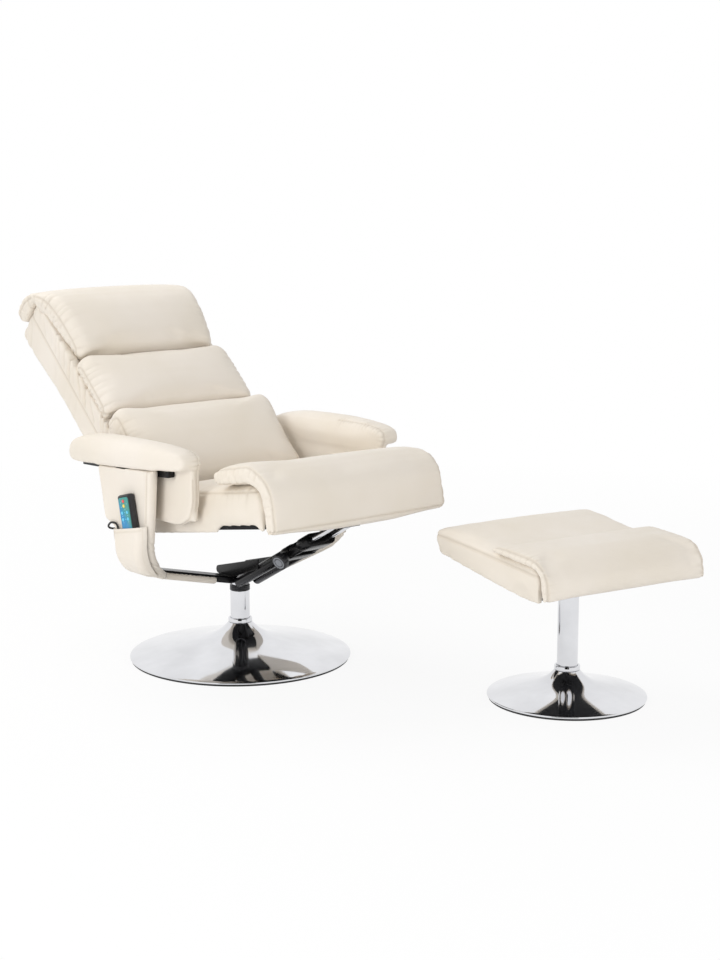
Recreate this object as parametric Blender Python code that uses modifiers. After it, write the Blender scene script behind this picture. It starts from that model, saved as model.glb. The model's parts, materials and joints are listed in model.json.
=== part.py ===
# Reclining swivel massage armchair with a matching footstool, both on round pedestals.
# Metres, +Z up. The chair faces -Y, and -X is the sitter's right, where the handset is kept.
# The chair is stored reclined, as it is shown, and the set stands centred on the floor.

import math

import bmesh
import bpy
from mathutils import Matrix, Vector

# Clearances
FIT = 0.0004
RUN = 0.0007
EDGE = 0.0015

# Pedestals, shared by the chair and the footstool
COLUMN_RADIUS = 0.025
COLUMN_WALL = 0.0035
DISH_WALL = 0.004
DISH_LIP = 0.004
NECK_WALL = 0.005
TRUMPET_SHARE = 0.60
TRUMPET_SWELL = 0.12
RING_HEIGHT = 0.005
RING_WIDTH = 0.018
RING_INSET = 0.003
COLLAR_WALL = 0.0055
COLLAR_HEIGHT = 0.011
TIE_HEIGHT = 0.012
TIE_THICKNESS = 0.006
CHAIR_DISH_RADIUS = 0.285
CHAIR_DISH_HEIGHT = 0.0926
CHAIR_COLUMN_TOP = 0.1764
STOOL_DISH_RADIUS = 0.191
STOOL_DISH_HEIGHT = 0.07
ROUND_STEPS = 32
SMALL_STEPS = 24

# Swivel
BUSH_FLANGE = 0.013
BUSH_LIP = 0.001
BUSH_DEPTH = 0.046
SPINDLE_RADIUS = 0.014
SPINDLE_LENGTH = 0.09
SHOULDER_RADIUS = 0.021
SHOULDER_HEIGHT = 0.012

# Carrier: one bent flat tube from arm to arm, under the seat
CARRIER_HALF_DEPTH = 0.0275
CARRIER_HALF_HEIGHT = 0.009
CARRIER_CHAMFER = 0.003
CARRIER_FLAT = 0.045
CARRIER_SLOPE = math.radians(13.0)
CARRIER_BEND = 0.12
CARRIER_BEND_STEPS = 6
GUSSET_THICKNESS = 0.004
GUSSET_REAR_HEIGHT = 0.022
GUSSET_REACH = 0.14
GUSSET_HEIGHT = 0.024

# Back, in its own frame: x across, y to the rear, z along the back from the hinge
BACK_HALF_WIDTH = 0.232
BACK_TILT = math.radians(42.2)
BACK_BELOW_HINGE = 0.045
BACK_ABOVE_HINGE = 0.676
BACK_REAR = 0.0695
BACK_FRONT = 0.03
SHELL_WALL = 0.012
SHELL_ROUND = 0.018
BACK_RAIL = 0.03
BACK_RAIL_DEPTH = 0.03
BACK_BOARD_THICKNESS = 0.01
CUSHION_EDGE = 0.97
LUMBAR_BOTTOM = -0.018
LUMBAR_TOP = 0.235
MID_TOP = 0.44
CUSHION_GAP = 0.003
LUMBAR_DEPTH = 0.092
LUMBAR_EXTRA = 0.01
MID_DEPTH = 0.058
MID_EXTRA = 0.008
HEAD_DEPTH = 0.072
HEAD_TOP_DEPTH = 0.052
HEAD_TAPER = 0.014
HEAD_EXTRA = 0.01
BACK_CROWN = 0.017
BACK_MOTOR_SPREAD = 0.10
BACK_MOTOR_HEIGHT = 0.33

# Massage motors
MOTOR_RADIUS = 0.031
MOTOR_DEPTH = 0.024

# Hinge between the seat and the back
HINGE_GAP = 0.013
HINGE_PLATE = 0.006
HINGE_PIN_RADIUS = 0.007
HINGE_PIN_GRIP = 0.016
HINGE_EYE_RADIUS = 0.018
HINGE_BEHIND = 0.0916
HINGE_ABOVE = 0.0699
HINGE_BAR = 0.21

# Seat, in its own frame: x across, y to the rear, z square to its underside
SEAT_TILT = math.radians(9.3)
SEAT_REAR = 0.012
SEAT_DEPTH = 0.472
SEAT_HEIGHT = 0.10
SEAT_SKIRT = 0.0136
SEAT_FRONT_SKIRT = 0.02
SEAT_LIFT = 0.152
SEAT_CROWN = 0.012
BOARD_THICKNESS = 0.018
BOARD_RECESS = 0.004
ROLL_REACH = 0.18
ROLL_DEPTH = 0.034
ROLL_EXTRA = 0.005
ROLL_DROP = 0.008
ROLL_SAG = 0.009
ROLL_INNER_RADIUS = 0.028
ROLL_BOW = 0.009
SEAT_MOTOR_SPREAD = 0.11
SEAT_MOTOR_BACK = 0.22
BOX_SIZE = (0.12, 0.08, 0.026)
BOX_SIDE = 0.13
BOX_BACK = 0.09
INLET_RADIUS = 0.0035
INLET_DEPTH = 0.012

# Recline slide: two rods telescope out of two tubes
SLIDE_TILT = math.radians(28.0)
SLIDE_DROP = 0.024
SLIDE_HALF_SPAN = 0.028
TUBE_RADIUS = 0.0145
TUBE_LENGTH = 0.295
ROD_RADIUS = 0.006
ROD_INSIDE = 0.10
END_BLOCK_LENGTH = 0.042
BLOCK_MARGIN = 0.002
CLAMP_ALONG = 0.262
CLAMP_LENGTH = 0.034
CROSSHEAD_HALF_WIDTH = 0.036
CROSSHEAD_LENGTH = 0.018
CROSSHEAD_BACK = 0.02
KNOB_ANGLE = math.radians(27.0)
KNOB_RADIUS = 0.021
KNOB_DEPTH = 0.016
KNOB_NECK_RADIUS = 0.012
KNOB_NECK = 0.014
KNOB_LOBES = 10
STUD_RADIUS = 0.005
STUD_LENGTH = 0.004

# Arms, with the pads' undersides falling to the rear
ARM_GAP = 0.016
ARM_BASE = 0.3215
ARM_FALL = math.tan(math.radians(3.5))
ARM_HALF_WIDTH = 0.048
ARM_THICKNESS = 0.064
ARM_FRONT = 0.24
ARM_REAR = 0.26
ARM_CROWN = 0.006
PANEL_THICKNESS = 0.024
PANEL_BOTTOM = 0.197
PANEL_FRONT = 0.23
PANEL_REAR = 0.16
PANEL_FRONT_ROUND = 0.075
PANEL_REAR_ROUND = 0.05
PANEL_EDGE = 0.006
STRUT_GAP = 0.022
STRUT_HALF_THICKNESS = 0.0145
SLEEVE_UPPER = 0.006
SLEEVE_LOWER = 0.0135
SLEEVE_START = 0.095
SLEEVE_HALF_DEPTH = 0.036
STRUT_FRONT_LOW = 0.114
STRUT_FRONT_HIGH = 0.131
STRUT_FRONT_PLAIN = 0.046
STRUT_PLAIN_RISE = 0.5
STRUT_REAR_LOW = 0.034
STRUT_REAR_STEP = 0.078
STRUT_REAR_HIGH = 0.106
BRACKET_FRONT = 0.166
BRACKET_REAR = 0.215
BRACKET_WIDTH = 0.018
BRACKET_FRONT_HEIGHT = 0.016
BRACKET_REAR_HEIGHT = 0.008
TAB_WIDTH = 0.04
TAB_HEIGHT = 0.09

# Handset and its pocket on the right strut
POCKET_WALL = 0.003
POCKET_MOUTH = 0.167
POCKET_MOUTH_RISE = 0.028
POCKET_DEPTH = 0.0245
POCKET_BULGE = 0.031
POCKET_INSET = 0.003
POCKET_FRONT_SLOPE = 0.008
POCKET_REAR_SLOPE = 0.045
POCKET_END_ANGLE = math.radians(30.0)
HANDSET_SIZE = (0.02, 0.053, 0.14)
HANDSET_EDGE = 0.006
HANDSET_TILT = math.radians(14.0)
HANDSET_FORWARD = 0.058
HANDSET_HEIGHT = 0.196
FACE_SIZE = (0.042, 0.088)
FACE_LIFT = 0.019
FACE_ROUND = 0.006
FACE_THICKNESS = 0.0015
FACE_RECESS = 0.0045
BUTTON_RADIUS = 0.0042
BUTTON_PROUD = 0.0015
BUTTON_BEHIND = 0.0015
BUTTON_SPREAD = 0.011
BUTTON_PITCH = 0.0115
RELIEF_RADIUS = 0.0045
RELIEF_LENGTH = 0.009

# Handset cord, chosen by hand in the carrier's frame, from the handset to the grommet
CORD_RADIUS = 0.0025
CORD_STEP = 0.0065
GROMMET_RADIUS = 0.007
GROMMET_LENGTH = 0.006
GROMMET_Y = 0.006
GROMMET_Z = 0.173

# Footstool, with its underside rising to the rear
STOOL_X = 0.379
STOOL_Y = -0.799
STOOL_TURN = math.radians(-7.8)
STOOL_HALF_WIDTH = 0.24
STOOL_FRONT = 0.19
STOOL_REAR = 0.227
STOOL_TOP = 0.401
STOOL_FALL = math.radians(4.0)
STOOL_UNDER = 0.322
STOOL_SLOPE = math.radians(7.6)
STOOL_CROWN = 0.018
STOOL_BOARD = 0.012
STOOL_BOARD_MARGIN = 0.022
STOOL_BOARD_RECESS = 0.003
MOUNT_HALF = 0.06
MOUNT_HEIGHT = 0.022
FLAP_REACH = 0.185
FLAP_DEPTH = 0.02
FLAP_INNER_RADIUS = 0.03
FLAP_DROP = 0.074

# Sizes that follow from the driving ones
HUB_HEIGHT = CHAIR_COLUMN_TOP + FIT + BUSH_FLANGE + RUN + SHOULDER_HEIGHT + FIT + CARRIER_HALF_HEIGHT
PLATE_INNER = BACK_HALF_WIDTH + HINGE_GAP
PLATE_OUTER = PLATE_INNER + HINGE_PLATE
BOARD_HALF_WIDTH = PLATE_INNER - FIT
SEAT_HALF_WIDTH = PLATE_OUTER + FIT + SEAT_SKIRT
SEAT_FRONT = SEAT_REAR - SEAT_DEPTH
PANEL_INNER = SEAT_HALF_WIDTH + ARM_GAP
PANEL_OUTER = PANEL_INNER + PANEL_THICKNESS
STRUT_INNER = PANEL_OUTER + STRUT_GAP
STRUT_X = STRUT_INNER + STRUT_HALF_THICKNESS
STRUT_OUTER = STRUT_X + STRUT_HALF_THICKNESS
STRUT_TOP = ARM_BASE - ARM_FALL * CARRIER_HALF_DEPTH - FIT
ARM_X = (PANEL_INNER + STRUT_OUTER) / 2
HINGE_Y = SEAT_REAR + HINGE_BEHIND
BORE_RADIUS = ROD_RADIUS + RUN
BLOCK_RADIUS = TUBE_RADIUS + BLOCK_MARGIN
SIDES = (("right", -1), ("left", 1))

parts = None
cutters = None
materials = {}


# Scene, materials and helpers


def clear_scene():
    for old in list(bpy.data.objects):
        bpy.data.objects.remove(old, do_unlink=True)


def new_collection(name):
    collection = bpy.data.collections.new(name)
    bpy.context.scene.collection.children.link(collection)
    return collection


def material(name, colour, roughness, metallic):
    made = bpy.data.materials.new(name)
    made.use_nodes = True
    shader = made.node_tree.nodes["Principled BSDF"]
    shader.inputs["Base Color"].default_value = (*colour, 1.0)
    shader.inputs["Roughness"].default_value = roughness
    shader.inputs["Metallic"].default_value = metallic
    materials[name] = made


def make_materials():
    material("cream_leather", (0.80, 0.72, 0.60), 0.45, 0.0)
    material("chrome", (0.80, 0.80, 0.82), 0.08, 1.0)
    material("black_steel", (0.012, 0.012, 0.013), 0.30, 0.6)
    material("bright_steel", (0.55, 0.55, 0.56), 0.35, 1.0)
    material("black_plastic", (0.015, 0.015, 0.017), 0.40, 0.0)
    material("black_rubber", (0.02, 0.02, 0.02), 0.80, 0.0)
    material("plywood", (0.45, 0.32, 0.19), 0.70, 0.0)
    material("black_board", (0.012, 0.012, 0.012), 0.85, 0.0)
    material("teal_film", (0.02, 0.30, 0.42), 0.35, 0.0)
    material("red_key", (0.75, 0.05, 0.06), 0.40, 0.0)
    material("yellow_key", (0.85, 0.65, 0.10), 0.40, 0.0)
    material("blue_key", (0.25, 0.60, 0.80), 0.40, 0.0)


def empty(name, parent, location=(0, 0, 0), rotation=(0, 0, 0)):
    made = bpy.data.objects.new(name, None)
    made.empty_display_size = 0.05
    made.location = location
    made.rotation_euler = rotation
    made.parent = parent
    parts.objects.link(made)
    return made


def add_object(name, data, skin, parent, location=(0, 0, 0), rotation=(0, 0, 0)):
    made = bpy.data.objects.new(name, data)
    made.location = location
    made.rotation_euler = rotation
    made.parent = parent
    if skin is None:
        made.hide_render = True
        made.display_type = "WIRE"
        cutters.objects.link(made)
    else:
        data.materials.append(materials[skin])
        parts.objects.link(made)
    return made


def mesh_from(name, builder):
    builder.normal_update()
    mesh = bpy.data.meshes.new(name)
    builder.to_mesh(mesh)
    builder.free()
    return mesh


def smooth(mesh):
    mesh.shade_smooth()
    mesh.set_sharp_from_angle(angle=math.radians(35))


def bevel(obj, width, segments=2):
    rounded = obj.modifiers.new("rounded edges", "BEVEL")
    rounded.width = width
    rounded.segments = segments
    rounded.limit_method = "ANGLE"
    rounded.angle_limit = math.radians(40)


def cut(obj, cutter, operation="DIFFERENCE"):
    boolean = obj.modifiers.new(operation.lower() + " " + cutter.name, "BOOLEAN")
    boolean.object = cutter
    boolean.operation = operation
    boolean.solver = "EXACT"


def box(name, skin, parent, low, high, edge=0.0, segments=2):
    builder = bmesh.new()
    bmesh.ops.create_cube(builder, size=1.0)
    size = [b - a for a, b in zip(low, high)]
    bmesh.ops.scale(builder, vec=size, verts=builder.verts)
    centre = [(a + b) / 2 for a, b in zip(low, high)]
    made = add_object(name, mesh_from(name, builder), skin, parent, centre)
    if edge:
        bevel(made, edge, segments)
    return made


# A round bar between two points of its parent's frame
def bar(name, skin, parent, start, end, radius, steps=SMALL_STEPS):
    start, end = Vector(start), Vector(end)
    builder = bmesh.new()
    bmesh.ops.create_cone(
        builder,
        cap_ends=True,
        segments=steps,
        radius1=radius,
        radius2=radius,
        depth=(end - start).length,
    )
    mesh = mesh_from(name, builder)
    smooth(mesh)
    made = add_object(name, mesh, skin, parent, (start + end) / 2)
    made.rotation_mode = "QUATERNION"
    made.rotation_quaternion = (end - start).to_track_quat("Z", "Y")
    return made


# A turned piece; its profile of (radius, height) runs down the outside and back up the inside
def turned(name, skin, parent, profile, ring, steps=ROUND_STEPS, location=(0, 0, 0)):
    builder = bmesh.new()
    verts = [builder.verts.new((r, 0, z)) for r, z in profile]
    for first, second in zip(verts, verts[1:]):
        builder.edges.new((first, second))
    if ring:
        builder.edges.new((verts[-1], verts[0]))
    made = add_object(name, mesh_from(name, builder), skin, parent, location)
    screw = made.modifiers.new("turned", "SCREW")
    screw.steps = steps
    screw.render_steps = steps
    screw.use_merge_vertices = True
    screw.merge_threshold = 0.00005
    return made


def ring_profile(inner, outer, low, high):
    return [(inner, high), (outer, high), (outer, low), (inner, low)]


def arc(centre, radius, start, end, steps):
    angles = [start + (end - start) * i / steps for i in range(steps + 1)]
    return [(centre[0] + radius * math.cos(a), centre[1] + radius * math.sin(a)) for a in angles]


def circle(centre, radius, steps):
    return arc(centre, radius, 0, 2 * math.pi, steps)[:-1]


def rounded_rectangle(half_x, half_y, radius, steps=3):
    points = []
    for quarter, (sx, sy) in enumerate(((1, 1), (-1, 1), (-1, -1), (1, -1))):
        centre = (sx * (half_x - radius), sy * (half_y - radius))
        points += arc(centre, radius, quarter * math.pi / 2, (quarter + 1) * math.pi / 2, steps)
    return points


# Two round ends joined by straight sides, lying along x
def stadium(half_span, radius, steps=10):
    right = arc((half_span, 0), radius, -math.pi / 2, math.pi / 2, steps)
    left = arc((-half_span, 0), radius, math.pi / 2, 3 * math.pi / 2, steps)
    return right + left


# A flat outline with holes, as a mesh whose thickness runs along local z
def plate_mesh(name, loops, thickness):
    curve = bpy.data.curves.new(name, "CURVE")
    curve.dimensions = "2D"
    curve.fill_mode = "BOTH"
    curve.extrude = thickness / 2
    for loop in loops:
        spline = curve.splines.new("POLY")
        spline.points.add(len(loop) - 1)
        spline.use_cyclic_u = True
        for point, (x, y) in zip(spline.points, loop):
            point.co = (x, y, 0, 1)
    guide = bpy.data.objects.new(name + " outline", curve)
    bpy.context.scene.collection.objects.link(guide)
    graph = bpy.context.evaluated_depsgraph_get()
    mesh = bpy.data.meshes.new_from_object(guide.evaluated_get(graph))
    bpy.data.objects.remove(guide, do_unlink=True)
    builder = bmesh.new()
    builder.from_mesh(mesh)
    bmesh.ops.remove_doubles(builder, verts=builder.verts, dist=0.00001)
    bmesh.ops.recalc_face_normals(builder, faces=builder.faces)
    builder.to_mesh(mesh)
    builder.free()
    mesh.materials.clear()
    return mesh


# A flat outline drawn in the (y, z) plane of its parent, with its thickness across x
def side_plate(name, skin, parent, loops, x, thickness):
    mesh = plate_mesh(name, loops, thickness)
    return add_object(name, mesh, skin, parent, (x, 0, 0), (math.pi / 2, 0, math.pi / 2))


# A soft piece: a slab of stations across and along, shaped by a rule and smoothed
def soft(name, parent, place, across, along, levels=1):
    builder = bmesh.new()
    columns, rows = len(across) - 1, len(along) - 1
    bmesh.ops.create_grid(builder, x_segments=columns, y_segments=rows, size=1.0)
    grown = bmesh.ops.extrude_face_region(builder, geom=builder.faces[:])
    outer = {v for v in grown["geom"] if isinstance(v, bmesh.types.BMVert)}
    for vert in builder.verts:
        a = across[round((vert.co.x + 1) / 2 * columns)]
        b = along[round((vert.co.y + 1) / 2 * rows)]
        vert.co = place(a, b, vert in outer)
    builder.normal_update()
    bmesh.ops.recalc_face_normals(builder, faces=builder.faces)
    mesh = mesh_from(name, builder)
    mesh.shade_smooth()
    made = add_object(name, mesh, "cream_leather", parent)
    rounding = made.modifiers.new("soft", "SUBSURF")
    rounding.levels = levels
    rounding.render_levels = levels
    return made


# A path in the (y, z) plane: a run, a bend and another run, as points and normals
def bent_path(start, heading, run, radius, last, turn, sweep=math.pi / 2):
    def at(share):
        bend = radius * sweep
        gone = share * (run + bend + last)
        forward = Vector((math.cos(heading), math.sin(heading)))
        outward = Vector((-turn * forward.y, turn * forward.x))
        point = Vector(start) + forward * min(gone, run)
        angle = min(max(gone - run, 0) / radius, sweep)
        centre = Vector(start) + forward * run - outward * radius
        normal = outward * math.cos(angle) + forward * math.sin(angle)
        if gone > run:
            point = centre + normal * radius
        if gone > run + bend:
            point += (forward * math.cos(sweep) - outward * math.sin(sweep)) * (gone - run - bend)
        return point, normal

    return at


def straight_path(start, end, normal):
    def at(share):
        return Vector(start).lerp(Vector(end), share), Vector(normal)

    return at


def between(points, share):
    for (a, low), (b, high) in zip(points, points[1:]):
        if share <= b:
            return low + (high - low) * (share - a) / (b - a)
    return points[-1][1]


def even(size):
    return [(0, size), (1, size)]


# A cushion that lies along a path, with its crown and drawn-in sides
def cushion_rule(path, half_width, depth, crown, draw, peak=0.5, reach=0.5):
    def place(a, b, outer):
        point, normal = path(b)
        swell = max(0.0, 1 - ((b - peak) / reach) ** 2)
        height = (between(depth, b) + crown * swell * (1 - a**4)) if outer else 0.0
        spot = point + normal * height
        x = a * between(half_width, b) * (1 - draw * swell)
        return (x, spot.x, spot.y)

    return place


# Pedestals


def trumpet(radius, neck, rim, top, foot):
    share = (radius - neck) / (rim - neck)
    cone = TRUMPET_SHARE * (1 - share) + TRUMPET_SWELL * share * (1 - share)
    fall = cone + (1 - TRUMPET_SHARE) * (1 - share) ** 8
    return foot + (top - foot) * fall


def dish_inside(dish_radius, dish_height):
    neck = COLUMN_RADIUS + FIT
    rim = dish_radius - RING_INSET - RING_WIDTH - EDGE
    foot = RING_HEIGHT + FIT
    top = dish_height - 2 * DISH_WALL
    return lambda radius: trumpet(radius, neck, rim, top, foot), neck, rim


def dish_profile(dish_radius, dish_height, count=10):
    neck = COLUMN_RADIUS + FIT + NECK_WALL
    lip = RING_HEIGHT + FIT + DISH_LIP
    shares = [(i / count) ** 1.6 for i in range(count + 1)]
    radii = [neck + (dish_radius - neck) * s for s in shares]
    outside = [(r, trumpet(r, neck, dish_radius, dish_height, lip)) for r in radii]
    inside, bore, rim = dish_inside(dish_radius, dish_height)
    inner_radii = [bore + (rim - bore) * s for s in reversed(shares[::2])]
    inner = [(r, inside(r)) for r in inner_radii]
    return outside + [(dish_radius, RING_HEIGHT + FIT)] + inner + [(bore, dish_height)]


def tie_radius(dish_radius, dish_height):
    inside, low, high = dish_inside(dish_radius, dish_height)
    for _ in range(40):
        middle = (low + high) / 2
        if inside(middle) > TIE_HEIGHT + TIE_THICKNESS + FIT:
            low = middle
        else:
            high = middle
    return low


def pedestal(prefix, parent, dish_radius, dish_height, column_top):
    ring_outer = dish_radius - RING_INSET
    turned(
        prefix + "_floor_ring",
        "black_rubber",
        parent,
        ring_profile(ring_outer - RING_WIDTH, ring_outer, 0, RING_HEIGHT),
        True,
    )
    turned(prefix + "_dish", "chrome", parent, dish_profile(dish_radius, dish_height), True)
    plate = tie_radius(dish_radius, dish_height)
    tie_top = TIE_HEIGHT + TIE_THICKNESS
    turned(
        prefix + "_tie_plate",
        "bright_steel",
        parent,
        [(0, tie_top), (plate, tie_top), (plate, TIE_HEIGHT), (0, TIE_HEIGHT)],
        False,
        SMALL_STEPS,
    )
    turned(
        prefix + "_column",
        "chrome",
        parent,
        ring_profile(COLUMN_RADIUS - COLUMN_WALL, COLUMN_RADIUS, tie_top + FIT, column_top),
        True,
    )
    collar_low = dish_height + FIT
    inner = COLUMN_RADIUS + FIT
    turned(
        prefix + "_collar",
        "chrome",
        parent,
        [
            (inner, collar_low + COLLAR_HEIGHT),
            (inner + COLLAR_WALL - EDGE, collar_low + COLLAR_HEIGHT),
            (inner + COLLAR_WALL, collar_low + COLLAR_HEIGHT - EDGE),
            (inner + COLLAR_WALL, collar_low),
            (inner, collar_low),
        ],
        True,
    )


def swivel_bearing(base, hub):
    sleeve = COLUMN_RADIUS - COLUMN_WALL - FIT
    bore = SPINDLE_RADIUS + RUN
    low = CHAIR_COLUMN_TOP + FIT
    top = low + BUSH_FLANGE
    rim = COLUMN_RADIUS + BUSH_LIP
    turned(
        "swivel_bush",
        "black_plastic",
        base,
        [
            (bore, top),
            (rim, top),
            (rim, low),
            (sleeve, low),
            (sleeve, low - BUSH_DEPTH),
            (bore, low - BUSH_DEPTH),
        ],
        True,
    )
    shoulder_top = -CARRIER_HALF_HEIGHT - FIT
    shoulder_low = shoulder_top - SHOULDER_HEIGHT
    turned(
        "swivel_spindle",
        "chrome",
        hub,
        [
            (0, shoulder_top),
            (SHOULDER_RADIUS, shoulder_top),
            (SHOULDER_RADIUS, shoulder_low),
            (SPINDLE_RADIUS, shoulder_low),
            (SPINDLE_RADIUS, shoulder_low - SPINDLE_LENGTH),
            (0, shoulder_low - SPINDLE_LENGTH),
        ],
        False,
    )


# Carrier and its leather sleeves


def bend_start():
    x = STRUT_X - CARRIER_BEND + CARRIER_BEND * math.sin(CARRIER_SLOPE)
    return x, (x - CARRIER_FLAT) * math.tan(CARRIER_SLOPE)


def bend_centre():
    return STRUT_X - CARRIER_BEND, bend_start()[1] + CARRIER_BEND * math.cos(CARRIER_SLOPE)


# A point on the bend with its outward direction, for a heading between the slope and upright
def on_bend(heading, side):
    x, z = bend_centre()
    spot = Vector((side * (x + CARRIER_BEND * math.sin(heading)), 0, z - CARRIER_BEND * math.cos(heading)))
    return spot, Vector((side * math.sin(heading), 0, -math.cos(heading)))


def on_strut(z, side):
    return Vector((side * STRUT_X, 0, z)), Vector((side, 0, 0))


def bend_headings():
    span = math.pi / 2 - CARRIER_SLOPE
    return [CARRIER_SLOPE + span * i / CARRIER_BEND_STEPS for i in range(CARRIER_BEND_STEPS + 1)]


def on_slope(x, side):
    outward = Vector((side * math.sin(CARRIER_SLOPE), 0, -math.cos(CARRIER_SLOPE)))
    return Vector((side * x, 0, (x - CARRIER_FLAT) * math.tan(CARRIER_SLOPE))), outward


# A closed solid through rings of equal count, each a list of points
def loft(name, skin, parent, rings):
    builder = bmesh.new()
    rows = [[builder.verts.new(point) for point in ring] for ring in rings]
    count = len(rings[0])
    for low, high in zip(rows, rows[1:]):
        for i in range(count):
            j = (i + 1) % count
            builder.faces.new((low[i], low[j], high[j], high[i]))
    builder.faces.new(rows[0])
    builder.faces.new(rows[-1])
    builder.normal_update()
    bmesh.ops.recalc_face_normals(builder, faces=builder.faces)
    return add_object(name, mesh_from(name, builder), skin, parent)


# A section across the carrier: y along the seat's depth, offset along the outward direction
def section(spot, outward, outline):
    return [spot + Vector((0, y, 0)) + outward * offset for y, offset in outline]


def carrier_rings(grow):
    outline = rounded_rectangle(
        CARRIER_HALF_DEPTH + grow, CARRIER_HALF_HEIGHT + grow, CARRIER_CHAMFER + grow, 1
    )
    right = [on_bend(h, -1) for h in reversed(bend_headings())]
    left = [on_bend(h, 1) for h in bend_headings()]
    corner = Vector((0, 0, -1))
    flat = [(Vector((-CARRIER_FLAT, 0, 0)), corner), (Vector((CARRIER_FLAT, 0, 0)), corner)]
    top = STRUT_TOP + (PANEL_EDGE if grow else 0.0)
    stations = [on_strut(top, -1)] + right + flat + left + [on_strut(top, 1)]
    return [section(spot, outward, outline) for spot, outward in stations]


def gusset_outline():
    top = CARRIER_HALF_HEIGHT
    reach = -GUSSET_REACH
    axis_at_reach = -SLIDE_DROP + GUSSET_REACH * math.tan(SLIDE_TILT)
    radius = GUSSET_REAR_HEIGHT / 2
    rear = arc((CARRIER_HALF_DEPTH, top + radius), radius, -math.pi / 2, math.pi / 2, 6)
    return rear + [
        (reach, axis_at_reach + GUSSET_HEIGHT),
        (reach, axis_at_reach - EDGE),
        (-CARRIER_HALF_DEPTH, top - EDGE),
        (CARRIER_HALF_DEPTH - EDGE, top - EDGE),
    ]


def carrier(hub):
    frame = loft("carrier_frame", "black_steel", hub, carrier_rings(0.0))
    for label, side in SIDES:
        x = side * (SLIDE_HALF_SPAN + TUBE_RADIUS + FIT + GUSSET_THICKNESS / 2)
        gusset = side_plate("gusset_" + label, None, hub, [gusset_outline()], x, GUSSET_THICKNESS)
        cut(frame, gusset, "UNION")


# Front and rear edges of a side panel and its reach to either side of the carrier's middle
# The right sleeve widens in its bend, for the pocket, and the left one above it
def sleeve_edges(heading, rise, side):
    turn = (heading - CARRIER_SLOPE) / (math.pi / 2 - CARRIER_SLOPE)
    foot = STRUT_FRONT_LOW if side < 0 else STRUT_FRONT_PLAIN
    front = SLEEVE_HALF_DEPTH + (foot - SLEEVE_HALF_DEPTH) * turn**0.45
    rear = SLEEVE_HALF_DEPTH + (STRUT_REAR_LOW - SLEEVE_HALF_DEPTH) * turn
    if rise > 0:
        flare = 0.0 if side < 0 else STRUT_PLAIN_RISE
        front = between([(0, foot), (flare, STRUT_FRONT_LOW), (1, STRUT_FRONT_HIGH)], rise)
        steps = [(0, STRUT_REAR_LOW), (0.05, STRUT_REAR_LOW), (0.16, STRUT_REAR_STEP), (1, STRUT_REAR_HIGH)]
        rear = between(steps, rise)
    inner = SLEEVE_UPPER + (STRUT_HALF_THICKNESS - SLEEVE_UPPER) * turn
    outer = SLEEVE_LOWER + (STRUT_HALF_THICKNESS - SLEEVE_LOWER) * turn
    return front, rear, inner, outer


def sleeve_section(spot, outward, heading, rise):
    front, rear, inner, outer = sleeve_edges(heading, rise, spot.x)
    half = (inner + outer) / 2
    outline = rounded_rectangle((front + rear) / 2, half, half * 0.75, 2)
    middle_y, middle = (rear - front) / 2, (outer - inner) / 2
    ring = section(spot, outward, [(y + middle_y, offset + middle) for y, offset in outline])
    if rise == 1.0:
        ring = [Vector((p.x, p.y, ARM_BASE - FIT - ARM_FALL * p.y)) for p in ring]
    return ring


def side_panel(hub, label, side, cavity):
    upright = math.pi / 2
    rings = [sleeve_section(*on_slope(SLEEVE_START, side), CARRIER_SLOPE, 0.0)]
    rings += [sleeve_section(*on_bend(h, side), h, 0.0) for h in bend_headings()]
    low = bend_centre()[1]
    for rise in (0.05, 0.1, 0.16, 0.5, 1.0):
        rings.append(sleeve_section(*on_strut(low + (STRUT_TOP - low) * rise, side), upright, rise))
    panel = loft("side_panel_" + label, "cream_leather", hub, rings)
    cut(panel, cavity)


def side_panels(hub):
    cavity = loft("carrier_room", None, hub, carrier_rings(FIT))
    for label, side in SIDES:
        side_panel(hub, label, side, cavity)


# Arms


# Height of an arm pad's underside
def arm_under(y):
    return ARM_BASE - ARM_FALL * y


def arm_bracket(hub, label, side):
    front, rear = -BRACKET_FRONT, BRACKET_REAR
    tab = -STRUT_FRONT_LOW / 2
    outline = [
        (rear, arm_under(rear) - FIT),
        (front, arm_under(front) - FIT),
        (front, arm_under(front) - FIT - BRACKET_FRONT_HEIGHT),
        (tab - TAB_WIDTH / 2, arm_under(tab) - FIT - BRACKET_FRONT_HEIGHT),
        (tab - TAB_WIDTH / 2, arm_under(tab) - TAB_HEIGHT),
        (tab + TAB_WIDTH / 2, arm_under(tab) - TAB_HEIGHT),
        (tab + TAB_WIDTH / 2, arm_under(tab) - FIT - BRACKET_FRONT_HEIGHT),
        (rear, arm_under(rear) - FIT - BRACKET_REAR_HEIGHT),
    ]
    x = side * (STRUT_INNER - FIT - BRACKET_WIDTH / 2)
    side_plate("arm_bracket_" + label, "black_steel", hub, [outline], x, BRACKET_WIDTH)


def arm_panel(hub, label, side):
    low = PANEL_BOTTOM
    front, rear = -PANEL_FRONT, PANEL_REAR
    front_centre = (front + PANEL_FRONT_ROUND, low + PANEL_FRONT_ROUND)
    rear_centre = (rear - PANEL_REAR_ROUND, low + PANEL_REAR_ROUND)
    outline = [(rear, arm_under(rear) - FIT), (front, arm_under(front) - FIT)]
    outline += arc(front_centre, PANEL_FRONT_ROUND, math.pi, 1.5 * math.pi, 6)
    outline += arc(rear_centre, PANEL_REAR_ROUND, 1.5 * math.pi, 2 * math.pi, 4)
    x = side * (PANEL_INNER + PANEL_OUTER) / 2
    made = side_plate("arm_panel_" + label, "cream_leather", hub, [outline], x, PANEL_THICKNESS)
    bevel(made, PANEL_EDGE, 2)


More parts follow.
